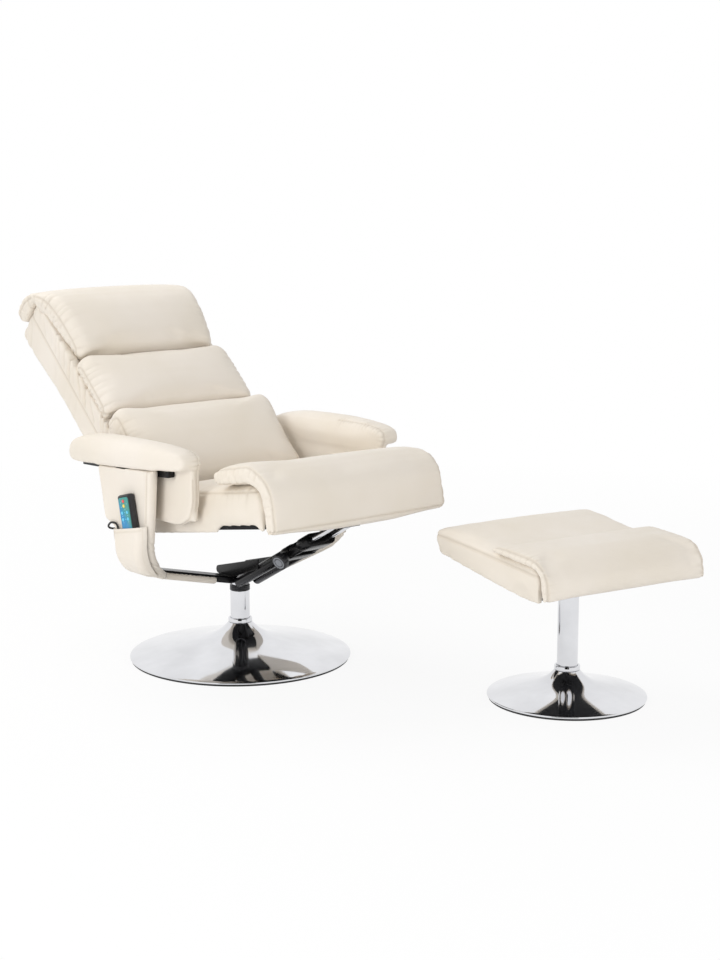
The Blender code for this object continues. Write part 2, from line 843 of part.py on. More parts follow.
def arm_pad(hub, label, side):
    width = [(0, 0.62), (0.12, 0.96), (0.3, 1.0), (0.75, 1.0), (0.92, 0.92), (1, 0.62)]
    depth = [(0, 0.72), (0.12, 1.07), (0.3, 1.06), (0.5, 1.02), (0.78, 0.88), (0.94, 0.72), (1, 0.56)]
    lean = [(0, 0.0), (0.7, 0.0), (1, 0.25)]

    def place(a, b, outer):
        y = ARM_REAR - (ARM_REAR + ARM_FRONT) * b
        half = ARM_HALF_WIDTH * between(width, b)
        x = side * (ARM_X - ARM_HALF_WIDTH * between(lean, b)) + a * half
        height = ARM_THICKNESS * between(depth, b) + ARM_CROWN * (1 - a * a)
        return (x, y, arm_under(y) + (height if outer else 0.0))

    soft("arm_pad_" + label, hub, place, (-1, -0.7, 0, 0.7, 1), (0, 0.12, 0.3, 0.6, 0.78, 0.94, 1))


def arms(hub):
    for label, side in SIDES:
        arm_bracket(hub, label, side)
        arm_panel(hub, label, side)
        arm_pad(hub, label, side)


# Recline slide, clamp and knob. The slide's frame has its rods along y, forward being -y.


def slide_tubes(slide):
    lean = TUBE_RADIUS * math.sin(SLIDE_TILT)
    start = (CARRIER_HALF_DEPTH + FIT + lean) / math.cos(SLIDE_TILT)
    end = start + TUBE_LENGTH
    for label, side in SIDES:
        x = side * SLIDE_HALF_SPAN
        tube = bar("slide_tube_" + label, "black_steel", slide, (x, -start, 0), (x, -end, 0), TUBE_RADIUS)
        bore = bar(
            "slide_bore_" + label, None, slide, (x, -start + EDGE, 0), (x, -end - EDGE, 0), BORE_RADIUS, 16
        )
        cut(tube, bore)
    return end


def slide_block(name, slide, along, length, hole):
    loops = [stadium(SLIDE_HALF_SPAN, BLOCK_RADIUS)]
    loops += [circle((side * SLIDE_HALF_SPAN, 0), hole, 20) for _, side in SIDES]
    mesh = plate_mesh(name, loops, length)
    return add_object(name, mesh, "black_steel", slide, (0, -along - length / 2, 0), (math.pi / 2, 0, 0))


def slide_guide(slide):
    end = slide_tubes(slide)
    slide_block("tube_end_block", slide, end + FIT, END_BLOCK_LENGTH, BORE_RADIUS)
    clamp = slide_block("clamp_sleeve", slide, CLAMP_ALONG, CLAMP_LENGTH, TUBE_RADIUS + FIT)
    outward = Vector((-math.cos(KNOB_ANGLE), 0, -math.sin(KNOB_ANGLE)))
    centre = Vector((-SLIDE_HALF_SPAN, -CLAMP_ALONG - CLAMP_LENGTH / 2, 0))
    seat = centre + outward * (BLOCK_RADIUS + FIT)
    hole = bar(
        "stud_hole",
        None,
        slide,
        centre + outward * TUBE_RADIUS,
        centre + outward * (BLOCK_RADIUS + EDGE),
        STUD_RADIUS + FIT,
        16,
    )
    cut(clamp, hole)
    return end + FIT + END_BLOCK_LENGTH, seat, outward


def knob(slide, seat, outward):
    axis = empty("knob_axis", slide, seat)
    axis.rotation_mode = "QUATERNION"
    axis.rotation_quaternion = outward.to_track_quat("Z", "Y")
    grip = KNOB_NECK + KNOB_DEPTH
    stud = min(STUD_LENGTH, BLOCK_MARGIN)
    body = turned(
        "recline_knob",
        "black_plastic",
        axis,
        [
            (0, grip),
            (KNOB_RADIUS - 2 * EDGE, grip),
            (KNOB_RADIUS, grip - EDGE),
            (KNOB_RADIUS, KNOB_NECK + EDGE),
            (KNOB_NECK_RADIUS, KNOB_NECK),
            (KNOB_NECK_RADIUS, EDGE),
            (STUD_RADIUS, 0),
            (STUD_RADIUS, -stud),
            (0, -stud),
        ],
        False,
        2 * KNOB_LOBES,
    )
    notch = KNOB_RADIUS * math.sin(math.pi / KNOB_LOBES) * 0.45
    builder = bmesh.new()
    for i in range(KNOB_LOBES):
        angle = 2 * math.pi * (i + 0.5) / KNOB_LOBES
        spot = Vector((math.cos(angle), math.sin(angle), 0)) * (KNOB_RADIUS + notch * 0.4)
        spot.z = KNOB_NECK + KNOB_DEPTH / 2
        bmesh.ops.create_cone(
            builder,
            cap_ends=True,
            segments=8,
            radius1=notch,
            radius2=notch,
            depth=KNOB_DEPTH + 2 * EDGE,
            matrix=Matrix.Translation(spot),
        )
    cut(body, add_object("knob_notches", mesh_from("knob_notches", builder), None, axis))


def slide_rods(carriage, block_end, tip):
    for label, side in SIDES:
        x = side * SLIDE_HALF_SPAN
        start, end = (x, ROD_INSIDE - block_end, 0), (x, -tip, 0)
        bar("slide_rod_" + label, "chrome", carriage, start, end, ROD_RADIUS, 16)


# Seat


# A point of the slide's frame in the seat's frame, both as (y, z)
def slide_to_seat(y, z):
    c, s = math.cos(-SLIDE_TILT), math.sin(-SLIDE_TILT)
    hub_y, hub_z = c * y - s * z, s * y + c * z - SLIDE_DROP - SEAT_LIFT
    c, s = math.cos(SEAT_TILT), math.sin(SEAT_TILT)
    return Vector((c * hub_y - s * hub_z, s * hub_y + c * hub_z))


# Where the rods end, a set way behind the front of the seat
def rod_tip():
    reach = slide_to_seat(0, 0).x - SEAT_FRONT - CROSSHEAD_BACK - CROSSHEAD_LENGTH
    return reach / math.cos(SLIDE_TILT - SEAT_TILT) - FIT


def crosshead(seat, tip):
    start = slide_to_seat(-tip - FIT, 0)
    lift = slide_to_seat(-tip - FIT, 1) - start
    top = start + lift * ((-FIT - start.y) / lift.y)
    low = start - lift * ROD_RADIUS
    outline = [
        (top.x, top.y),
        (low.x, low.y),
        (low.x - CROSSHEAD_LENGTH, low.y),
        (top.x - CROSSHEAD_LENGTH, top.y),
    ]
    side_plate("rod_crosshead", "black_steel", seat, [outline], 0, 2 * CROSSHEAD_HALF_WIDTH)


def hinge_plate(seat, label, side):
    eye = (HINGE_Y, HINGE_ABOVE)
    start = SEAT_REAR - FIT - HINGE_BAR
    outline = [(start, 0), (SEAT_REAR + HINGE_BEHIND / 4, 0)]
    outline += arc(eye, HINGE_EYE_RADIUS, math.radians(-50), math.radians(110), 8)
    outline += [(SEAT_REAR + EDGE, BOARD_THICKNESS), (start, BOARD_THICKNESS)]
    middle = side * (PLATE_INNER + PLATE_OUTER) / 2
    made = side_plate("hinge_plate_" + label, "black_steel", seat, [outline], middle, HINGE_PLATE)
    reach = PLATE_INNER - HINGE_GAP - SHELL_WALL - HINGE_PIN_GRIP
    pin = bar(
        "hinge_pin_" + label,
        None,
        seat,
        (side * reach, *eye),
        (side * (PLATE_OUTER - EDGE), *eye),
        HINGE_PIN_RADIUS,
        16,
    )
    cut(made, pin, "UNION")


def motor(name, parent, low, high):
    bar(name, "black_plastic", parent, low, high, MOTOR_RADIUS, 20)


def seat_board(seat):
    front = SEAT_FRONT + SEAT_FRONT_SKIRT + FIT
    rear = SEAT_REAR - FIT
    low = (-BOARD_HALF_WIDTH, front, 0)
    high = (BOARD_HALF_WIDTH, rear, BOARD_THICKNESS)
    box("seat_board", "black_board", seat, low, high)
    return front


def seat_cushion(seat, board_front):
    path = straight_path((SEAT_REAR, BOARD_RECESS), (SEAT_FRONT, BOARD_RECESS), (0, 1))
    depth = [(0, SEAT_HEIGHT - BOARD_RECESS), (1, SEAT_HEIGHT - BOARD_RECESS)]
    rule = cushion_rule(path, even(SEAT_HALF_WIDTH), depth, SEAT_CROWN, 0.0, 0.22, 0.2)
    across = (-1, -0.95, -0.5, 0, 0.5, 0.95, 1)
    cushion = soft("seat_cushion", seat, rule, across, (0, 0.05, 0.22, 0.42, 0.62, 0.86, 1))
    room = PLATE_OUTER + FIT
    recess = box(
        "seat_board_room",
        None,
        seat,
        (-room, board_front - FIT, -BOARD_THICKNESS),
        (room, SEAT_REAR + SEAT_SKIRT, BOARD_THICKNESS + FIT),
    )
    cut(cushion, recess)
    y = SEAT_REAR - SEAT_MOTOR_BACK
    for label, side in SIDES:
        x = side * SEAT_MOTOR_SPREAD
        low = BOARD_THICKNESS + FIT
        motor("seat_motor_" + label, seat, (x, y, low), (x, y, low + MOTOR_DEPTH))
        room = bar(
            "seat_motor_room_" + label,
            None,
            seat,
            (x, y, BOARD_THICKNESS / 2),
            (x, y, low + MOTOR_DEPTH + FIT),
            MOTOR_RADIUS + EDGE,
            20,
        )
        cut(cushion, room)


# The padded front edge, wrapped over the front of the seat
def seat_roll(seat):
    start = (SEAT_FRONT + ROLL_REACH, SEAT_HEIGHT + FIT)
    run = ROLL_REACH + FIT - ROLL_INNER_RADIUS
    last = SEAT_HEIGHT + FIT - ROLL_INNER_RADIUS + ROLL_DROP
    path = bent_path(start, math.pi, run, ROLL_INNER_RADIUS, last, -1)
    depth = [(0, 0.8 * ROLL_DEPTH), (0.1, 1.2 * ROLL_DEPTH), (0.4, 1.16 * ROLL_DEPTH), (1, ROLL_DEPTH)]
    rule = cushion_rule(path, even(SEAT_HALF_WIDTH + ROLL_EXTRA), depth, ROLL_BOW, 0.0, 0.75, 0.6)
    across = (-1, -CUSHION_EDGE, -0.5, 0, 0.5, CUSHION_EDGE, 1)
    hanging = [(0, 0), (0.6, 0), (1, ROLL_SAG)]

    def place(a, b, outer):
        x, y, z = rule(a, b, outer)
        return (x, y, z - between(hanging, b) * (1 - a * a))

    soft("seat_front_roll", seat, place, across, (0, 0.05, 0.25, 0.52, 0.6, 0.68, 0.76, 0.96, 1))


def control_box(seat):
    x, y = BOX_SIDE, SEAT_REAR - BOX_BACK
    half_x, half_y, height = BOX_SIZE[0] / 2, BOX_SIZE[1] / 2, BOX_SIZE[2]
    made = box(
        "control_box",
        "black_plastic",
        seat,
        (x - half_x, y - half_y, -FIT - height),
        (x + half_x, y + half_y, -FIT),
        2 * EDGE,
    )
    middle = -FIT - height / 2
    rear = y + half_y
    start, end = (x, rear - INLET_DEPTH, middle), (x, rear + EDGE, middle)
    inlet = bar("power_inlet", None, seat, start, end, INLET_RADIUS, 16)
    cut(made, inlet)


def build_seat(seat, tip):
    crosshead(seat, tip)
    front = seat_board(seat)
    seat_cushion(seat, front)
    seat_roll(seat)
    control_box(seat)
    for label, side in SIDES:
        hinge_plate(seat, label, side)


# Back


def back_shell(back, pin_room):
    builder = bmesh.new()
    bmesh.ops.create_cube(builder, size=1.0)
    open_face = [f for f in builder.faces if f.normal.y < -0.5]
    bmesh.ops.delete(builder, geom=open_face, context="FACES_ONLY")
    size = (2 * BACK_HALF_WIDTH, BACK_REAR + BACK_FRONT, BACK_BELOW_HINGE + BACK_ABOVE_HINGE)
    bmesh.ops.scale(builder, vec=size, verts=builder.verts)
    centre = (0, (BACK_REAR - BACK_FRONT) / 2, (BACK_ABOVE_HINGE - BACK_BELOW_HINGE) / 2)
    shell = add_object("back_shell", mesh_from("back_shell", builder), "cream_leather", back, centre)
    bevel(shell, SHELL_ROUND, 2)
    wall = shell.modifiers.new("wall", "SOLIDIFY")
    wall.thickness = SHELL_WALL
    wall.offset = -1
    wall.use_even_offset = True
    cut(shell, pin_room)


def back_structure(back, pin_room):
    half = BACK_HALF_WIDTH - SHELL_WALL - FIT
    low = -BACK_BELOW_HINGE + SHELL_WALL + SHELL_ROUND
    high = BACK_ABOVE_HINGE - SHELL_WALL - SHELL_ROUND
    behind = -BACK_FRONT + BACK_BOARD_THICKNESS
    box("back_board", "plywood", back, (-half, -BACK_FRONT, low), (half, behind, high))
    near = behind + FIT
    deep = near + BACK_RAIL_DEPTH
    frame = box("back_frame", "black_steel", back, (-half, near, low), (half, deep, high))
    window = box(
        "back_frame_window",
        None,
        back,
        (-half + BACK_RAIL, near - EDGE, low + BACK_RAIL),
        (half - BACK_RAIL, deep + EDGE, high - BACK_RAIL),
    )
    cut(frame, window)
    cut(frame, pin_room)
    for label, side in SIDES:
        x, z = side * BACK_MOTOR_SPREAD, BACK_MOTOR_HEIGHT
        motor("back_motor_" + label, back, (x, near, z), (x, near + MOTOR_DEPTH, z))


def back_cushions(back):
    seat_plane = -BACK_FRONT - FIT
    across = (-1, -CUSHION_EDGE, -0.5, 0, 0.5, CUSHION_EDGE, 1)
    along = (0, 0.1, 0.36, 0.64, 0.92, 1)
    path = straight_path((seat_plane, LUMBAR_BOTTOM), (seat_plane, LUMBAR_TOP), (-1, 0))
    depth = [(0, 0.72 * LUMBAR_DEPTH), (0.8, LUMBAR_DEPTH), (1, 0.9 * LUMBAR_DEPTH)]
    half = even(BACK_HALF_WIDTH + LUMBAR_EXTRA)
    soft("lumbar_cushion", back, cushion_rule(path, half, depth, BACK_CROWN, 0.01), across, along)

    path = straight_path((seat_plane, LUMBAR_TOP + CUSHION_GAP), (seat_plane, MID_TOP), (-1, 0))
    depth = [(0, 0.9 * MID_DEPTH), (0.1, MID_DEPTH), (0.9, MID_DEPTH), (1, 0.9 * MID_DEPTH)]
    half = even(BACK_HALF_WIDTH + MID_EXTRA)
    soft("middle_cushion", back, cushion_rule(path, half, depth, BACK_CROWN, 0.01), across, along)

    low, top = MID_TOP + CUSHION_GAP, BACK_ABOVE_HINGE + FIT
    bend = SHELL_ROUND
    run = top - low - bend
    last = BACK_FRONT + FIT + BACK_REAR - bend - SHELL_ROUND / 2
    path = bent_path((seat_plane + EDGE, low), math.pi / 2, run - EDGE, bend, last, 1)
    bend_share = run / (run + bend * math.pi / 2 + last)
    depth = [
        (0, 0.74 * HEAD_DEPTH),
        (0.2, HEAD_DEPTH),
        (0.75 * bend_share, 1.06 * HEAD_DEPTH),
        (bend_share + 0.04, 1.12 * HEAD_TOP_DEPTH),
        (1, 0.9 * HEAD_TOP_DEPTH),
    ]
    half = [
        (0, BACK_HALF_WIDTH - HEAD_TAPER),
        (bend_share, BACK_HALF_WIDTH + HEAD_EXTRA),
        (1, BACK_HALF_WIDTH + HEAD_EXTRA),
    ]
    rule = cushion_rule(path, half, depth, BACK_CROWN * 0.6, 0.0, 0.35, 0.6)
    stations = [0, 0.06, 0.28, 0.75 * bend_share, bend_share - 0.02, bend_share + 0.09, 0.94, 1]
    head = soft("head_cushion", back, rule, across, stations)
    reach = 2 * BACK_HALF_WIDTH
    room = box("shell_room", None, back, (-reach, seat_plane, 0), (reach, 2 * BACK_REAR, top))
    cut(head, room)


def build_back(back):
    reach = BACK_HALF_WIDTH + EDGE
    pin_room = bar("pin_room", None, back, (-reach, 0, 0), (reach, 0, 0), HINGE_PIN_RADIUS + RUN, 16)
    back_shell(back, pin_room)
    back_structure(back, pin_room)
    back_cushions(back)


# Handset, pocket and cord


# A shallow U across the strut, open towards it
def pocket_section(spot, outward, heading, rise, depth):
    front, rear, _, outer = sleeve_edges(heading, rise, spot.x)
    base = outer + FIT
    low, high = -front + POCKET_INSET, rear - POCKET_INSET
    wall = POCKET_WALL
    steep, gentle = POCKET_FRONT_SLOPE, POCKET_REAR_SLOPE
    outline = [
        (low, base),
        (low + steep, base + depth + wall),
        (high - gentle, base + depth + wall),
        (high, base),
        (high - 2 * wall, base),
        (high - gentle - wall, base + depth),
        (low + steep + wall / 2, base + depth),
        (low + wall, base),
    ]
    return section(spot, outward, outline), low, high


def pocket(hub):
    upright = math.pi / 2
    ring, low, high = pocket_section(*on_strut(POCKET_MOUTH, -1), upright, 0.01, POCKET_DEPTH)
    rise = POCKET_MOUTH_RISE / (high - low)
    rings = [[p + Vector((0, 0, rise * (high - p.y))) for p in ring]]
    headings = [h for h in reversed(bend_headings()) if h > POCKET_END_ANGLE]
    depths = [(0, POCKET_DEPTH), (0.4, POCKET_BULGE), (0.75, 0.75 * POCKET_BULGE), (1, EDGE / 2)]
    for heading in headings:
        share = (upright - heading) / (upright - headings[-1])
        rings.append(pocket_section(*on_bend(heading, -1), heading, 0.0, between(depths, share))[0])
    loft("handset_pocket", "cream_leather", hub, rings)


def button_places():
    top = FACE_LIFT + FACE_SIZE[1] / 2
    rows = [top - BUTTON_PITCH * step for step in (0.8, 1.8, 3.2, 4.6)]
    return [
        ("button_power", "red_key", 0.0, rows[0]),
        ("button_heat", "yellow_key", 0.0, rows[1]),
        ("button_mode_up", "blue_key", -BUTTON_SPREAD, rows[2]),
        ("button_mode_down", "blue_key", BUTTON_SPREAD, rows[2]),
        ("button_level_up", "blue_key", -BUTTON_SPREAD, rows[3]),
        ("button_level_down", "blue_key", BUTTON_SPREAD, rows[3]),
    ]


def handset(handle):
    half = [size / 2 for size in HANDSET_SIZE]
    shell = box("handset_shell", "black_plastic", handle, [-h for h in half], half, HANDSET_EDGE)
    face = -half[0]
    recess_y, recess_z = FACE_SIZE[0] / 2 + FIT, FACE_SIZE[1] / 2 + FIT
    turn = (math.pi / 2, 0, math.pi / 2)
    room_mesh = plate_mesh(
        "face_room", [rounded_rectangle(recess_y, recess_z, FACE_ROUND + FIT)], 2 * FACE_RECESS
    )
    cut(shell, add_object("face_room", room_mesh, None, handle, (face, 0, FACE_LIFT), turn))
    relief = bar(
        "strain_relief",
        None,
        handle,
        (0, 0, -half[2] - RELIEF_LENGTH),
        (0, 0, -half[2] + 2 * EDGE),
        RELIEF_RADIUS,
        16,
    )
    cut(shell, relief, "UNION")
    loops = [rounded_rectangle(FACE_SIZE[0] / 2, FACE_SIZE[1] / 2, FACE_ROUND)]
    for _, _, y, z in button_places():
        loops.append(circle((y, z - FACE_LIFT), BUTTON_RADIUS + FIT, 16))
    plate = plate_mesh("handset_face", loops, FACE_THICKNESS)
    add_object("handset_face", plate, "teal_film", handle, (face + FACE_THICKNESS / 2, 0, FACE_LIFT), turn)
    for name, skin, y, z in button_places():
        low = (face - BUTTON_PROUD, y, z)
        high = (face + FACE_THICKNESS + BUTTON_BEHIND, y, z)
        bar(name, skin, handle, low, high, BUTTON_RADIUS, 16)


def smooth_route(points, step):
    route = []
    ends = [2 * points[0] - points[1]] + points + [2 * points[-1] - points[-2]]
    for before, start, end, after in zip(ends, ends[1:], ends[2:], ends[3:]):
        count = max(2, round((end - start).length / step))
        for i in range(count):
            t = i / count
            route.append(
                0.5
                * (
                    2 * start
                    + (end - before) * t
                    + (2 * before - 5 * start + 4 * end - after) * t**2
                    + (3 * start - before - 3 * end + after) * t**3
                )
            )
    return route + [points[-1]]


def cord(hub, handle_spot):
    lean = Vector((0, math.sin(HANDSET_TILT), math.cos(HANDSET_TILT)))
    start = handle_spot - lean * (HANDSET_SIZE[2] / 2 + RELIEF_LENGTH + FIT)
    x = handle_spot.x
    inner = -(STRUT_INNER - FIT - GROMMET_LENGTH - FIT)
    points = [
        start,
        start - lean * 0.003,
        start - lean * 0.006,
        Vector((x + 0.013, -0.07, 0.103)),
        Vector((x + 0.012, -0.046, 0.106)),
        Vector((x + 0.005, -0.02, 0.13)),
        Vector((x + 0.003, -0.007, 0.158)),
        Vector((x + 0.006, 0.012, 0.181)),
        Vector((x + 0.006, 0.036, 0.182)),
        Vector((x + 0.011, 0.057, 0.169)),
        Vector((x + 0.026, 0.066, 0.16)),
        Vector((inner + 0.006, 0.058, 0.158)),
        Vector((inner + 0.018, 0.036, 0.163)),
        Vector((inner + 0.019, GROMMET_Y + 0.01, GROMMET_Z - 0.003)),
        Vector((inner + 0.012, GROMMET_Y, GROMMET_Z)),
        Vector((inner + 0.006, GROMMET_Y, GROMMET_Z)),
        Vector((inner, GROMMET_Y, GROMMET_Z)),
    ]
    curve = bpy.data.curves.new("handset_cord", "CURVE")
    curve.dimensions = "3D"
    curve.bevel_depth = CORD_RADIUS
    curve.bevel_resolution = 2
    curve.use_fill_caps = True
    route = smooth_route(points, CORD_STEP)
    spline = curve.splines.new("POLY")
    spline.points.add(len(route) - 1)
    for point, spot in zip(spline.points, route):
        point.co = (*spot, 1)
    add_object("handset_cord", curve, "black_rubber", hub)
    face = -(STRUT_INNER - FIT)
    bar(
        "cord_grommet",
        "black_rubber",
        hub,
        (face, GROMMET_Y, GROMMET_Z),
        (face + GROMMET_LENGTH, GROMMET_Y, GROMMET_Z),
        GROMMET_RADIUS,
        16,
    )


# Footstool


def stool_top(stool):
    tilt = empty("stool_tilt", stool, (0, 0, STOOL_UNDER), (STOOL_SLOPE, 0, 0))
    rise = math.tan(STOOL_SLOPE)
    half = STOOL_HALF_WIDTH - STOOL_BOARD_MARGIN
    front, rear = -STOOL_FRONT + STOOL_BOARD_MARGIN, STOOL_REAR - STOOL_BOARD_MARGIN
    box("stool_board", "black_board", tilt, (-half, front, 0), (half, rear, STOOL_BOARD))

    def under(y):
        return STOOL_UNDER + y * rise + STOOL_BOARD_RECESS

    path = straight_path((STOOL_REAR, under(STOOL_REAR)), (-STOOL_FRONT, under(-STOOL_FRONT)), (0, 1))
    def top(y):
        return STOOL_TOP - math.tan(STOOL_FALL) * (STOOL_REAR - y)

    depth = [(0, STOOL_TOP - under(STOOL_REAR)), (1, top(-STOOL_FRONT) - under(-STOOL_FRONT))]
    rule = cushion_rule(path, even(STOOL_HALF_WIDTH), depth, STOOL_CROWN, 0.0, 0.22, 0.22)
    across = (-1, -0.95, -0.5, 0, 0.5, 0.95, 1)
    cushion = soft("stool_cushion", stool, rule, across, (0, 0.06, 0.22, 0.44, 0.62, 0.84, 1))
    room = box(
        "stool_board_room",
        None,
        tilt,
        (-half - FIT, front - FIT, -STOOL_BOARD),
        (half + FIT, rear + FIT, STOOL_BOARD + FIT),
    )
    cut(cushion, room)

    y = -STOOL_FRONT + FLAP_REACH
    bend = FLAP_INNER_RADIUS
    run = (FLAP_REACH + FIT - bend * (1 - math.sin(STOOL_FALL))) / math.cos(STOOL_FALL)
    sweep = math.pi / 2 - STOOL_FALL
    path = bent_path((y, top(y) + FIT), math.pi + STOOL_FALL, run, bend, FLAP_DROP - bend, -1, sweep)
    depth = [(0, 0.6 * FLAP_DEPTH), (0.08, 0.85 * FLAP_DEPTH), (0.3, 0.9 * FLAP_DEPTH), (1, FLAP_DEPTH)]
    rule = cushion_rule(path, even(STOOL_HALF_WIDTH), depth, STOOL_CROWN * 0.35, 0.0, 0.7, 0.6)
    across = (-1, -CUSHION_EDGE, -0.5, 0, 0.5, CUSHION_EDGE, 1)
    soft("stool_front_flap", stool, rule, across, (0, 0.04, 0.3, 0.56, 0.64, 0.72, 0.8, 0.95, 1))


def stool_mount(stool):
    rise = math.tan(STOOL_SLOPE)
    gap = FIT / math.cos(STOOL_SLOPE)
    low = STOOL_UNDER - MOUNT_HEIGHT
    outline = [
        (-MOUNT_HALF, low),
        (MOUNT_HALF, low),
        (MOUNT_HALF, STOOL_UNDER + MOUNT_HALF * rise - gap),
        (-MOUNT_HALF, STOOL_UNDER - MOUNT_HALF * rise - gap),
    ]
    side_plate("stool_mount", "black_steel", stool, [outline], 0, 2 * MOUNT_HALF)
    return low - FIT


# The set's middle on the floor becomes the origin
def centre_on_floor(root):
    bpy.context.view_layer.update()
    graph = bpy.context.evaluated_depsgraph_get()
    low = Vector((math.inf, math.inf, math.inf))
    high = -low
    for obj in parts.objects:
        if obj.type == "EMPTY":
            continue
        seen = obj.evaluated_get(graph)
        for corner in seen.to_mesh().vertices:
            spot = seen.matrix_world @ corner.co
            low = Vector(map(min, low, spot))
            high = Vector(map(max, high, spot))
        seen.to_mesh_clear()
    root.location = (-(low.x + high.x) / 2, -(low.y + high.y) / 2, -low.z)
    bpy.context.view_layer.update()


def main():
    global parts, cutters
    clear_scene()
    parts = new_collection("massage_armchair_and_footstool")
    cutters = new_collection("cutters")
    make_materials()
    root = empty("set", None)

    pedestal("chair", root, CHAIR_DISH_RADIUS, CHAIR_DISH_HEIGHT, CHAIR_COLUMN_TOP)
    hub = empty("swivel", root, (0, 0, HUB_HEIGHT))
    swivel_bearing(root, hub)
    carrier(hub)
    side_panels(hub)
    arms(hub)

    slide = empty("slide", hub, (0, 0, -SLIDE_DROP), (-SLIDE_TILT, 0, 0))
    block_end, knob_seat, outward = slide_guide(slide)
    knob(slide, knob_seat, outward)
    carriage = empty("carriage", slide)
    tip = rod_tip()
    slide_rods(carriage, block_end, tip)

    seat = empty("seat", hub, (0, 0, SEAT_LIFT), (-SEAT_TILT, 0, 0))
    build_seat(seat, tip)
    recline = SEAT_TILT + BACK_TILT - math.pi / 2
    back = empty("back_hinge", seat, (0, HINGE_Y, HINGE_ABOVE), (recline, 0, 0))
    build_back(back)

    pocket(hub)
    handle_spot = Vector((-(STRUT_OUTER + FIT + HANDSET_SIZE[0] / 2), -HANDSET_FORWARD, HANDSET_HEIGHT))
    handle = empty("handset", hub, handle_spot, (-HANDSET_TILT, 0, 0))
    handset(handle)
    cord(hub, handle_spot)

    stool = empty("footstool", root, (STOOL_X, STOOL_Y, 0), (0, 0, STOOL_TURN))
    column_top = stool_mount(stool)
    pedestal("stool", stool, STOOL_DISH_RADIUS, STOOL_DISH_HEIGHT, column_top)
    stool_top(stool)
    centre_on_floor(root)


main()
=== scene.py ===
import json
import math

import bmesh
import bpy
import numpy as np
from mathutils import Matrix, Vector, noise
from mathutils.bvhtree import BVHTree
from mathutils.kdtree import KDTree

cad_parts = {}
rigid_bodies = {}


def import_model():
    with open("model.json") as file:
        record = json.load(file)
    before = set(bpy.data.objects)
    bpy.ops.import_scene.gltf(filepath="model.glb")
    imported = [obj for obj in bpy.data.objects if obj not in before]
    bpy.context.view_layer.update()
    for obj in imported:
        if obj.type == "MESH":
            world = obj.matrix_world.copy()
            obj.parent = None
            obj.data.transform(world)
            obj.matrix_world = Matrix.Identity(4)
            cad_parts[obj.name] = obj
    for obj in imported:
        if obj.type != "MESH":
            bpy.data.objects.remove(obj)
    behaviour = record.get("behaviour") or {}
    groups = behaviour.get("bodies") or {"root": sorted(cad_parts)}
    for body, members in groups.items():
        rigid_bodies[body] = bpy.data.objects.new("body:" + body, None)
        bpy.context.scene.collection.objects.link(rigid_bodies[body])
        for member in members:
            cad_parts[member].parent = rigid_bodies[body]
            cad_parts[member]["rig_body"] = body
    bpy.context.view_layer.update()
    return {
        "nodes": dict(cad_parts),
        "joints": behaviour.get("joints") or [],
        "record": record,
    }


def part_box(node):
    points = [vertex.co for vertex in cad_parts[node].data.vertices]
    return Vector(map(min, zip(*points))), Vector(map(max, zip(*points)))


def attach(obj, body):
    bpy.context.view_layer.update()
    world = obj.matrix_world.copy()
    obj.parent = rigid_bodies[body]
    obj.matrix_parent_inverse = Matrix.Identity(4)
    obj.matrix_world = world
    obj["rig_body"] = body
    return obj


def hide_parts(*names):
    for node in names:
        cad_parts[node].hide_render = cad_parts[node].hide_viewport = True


for spare in list(bpy.data.objects):
    bpy.data.objects.remove(spare)
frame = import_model()
scene = bpy.context.scene
nodes = frame["nodes"]
slotOf = {s["node"]: s["material_slot"] for s in frame["record"]["subparts"]}
joints = {j["name"]: j for j in frame["joints"]}

# The places that the solids turn about, in metres
hub = Vector(joints["chair_swivel"]["pos_m"])
hinge = Vector(joints["back_recline"]["pos_m"])
seatTilt = math.radians(9.3)
seatLift = 0.152
backTilt = math.radians(42.2)
stoolTurn = math.radians(-7.8)
stoolLow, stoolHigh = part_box("stool_column")
stoolSpot = Vector(((stoolLow.x + stoolHigh.x) / 2, (stoolLow.y + stoolHigh.y) / 2, 0))
hubFrame = Matrix.Translation(hub)
seatFrame = Matrix.Translation(hub + Vector((0, 0, seatLift))) @ Matrix.Rotation(-seatTilt, 4, "X")
backFrame = Matrix.Translation(hinge) @ Matrix.Rotation(backTilt - math.pi / 2, 4, "X")
stoolFrame = Matrix.Translation(stoolSpot) @ Matrix.Rotation(stoolTurn, 4, "Z")
chairFoot = Matrix.Translation((hub.x, hub.y, 0))
print("frame loaded:", len(nodes), "solids")


def boxMiddle(nodeName):
    low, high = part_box(nodeName)
    return (low + high) / 2


def setAll(thing, settings):
    for key, value in settings.items():
        setattr(thing, key, value)


def addObject(name, data):
    made = bpy.data.objects.new(name, data)
    scene.collection.objects.link(made)
    return made


# Camera, at the photo's angle

cameraLook = {"fromFoot": (-2.675, -3.658, 1.271), "back": (-0.634, -0.753, 0.176), "lens": 67.5}


def makeCamera(look):
    data = bpy.data.cameras.new("photoCamera")
    setAll(data, {"sensor_fit": "VERTICAL", "sensor_height": 36, "lens": look["lens"]})
    camera = addObject("photoCamera", data)
    back = Vector(look["back"]).normalized()
    right = Vector((0, 0, 1)).cross(back).normalized()
    turn = Matrix((right, back.cross(right), back)).transposed().to_4x4()
    camera.matrix_world = chairFoot @ Matrix.Translation(look["fromFoot"]) @ turn
    scene.camera = camera


makeCamera(cameraLook)


# Materials

materials = {}


def startMaterial(name):
    made = bpy.data.materials.new(name)
    made.use_nodes = True
    materials[name] = made
    return made.node_tree, made.node_tree.nodes["Principled BSDF"]


# Gives a node's inputs their links or their plain values
def feed(tree, node, inputs):
    for key, value in inputs.items():
        if isinstance(value, bpy.types.NodeSocket):
            tree.links.new(value, node.inputs[key])
        else:
            node.inputs[key].default_value = value


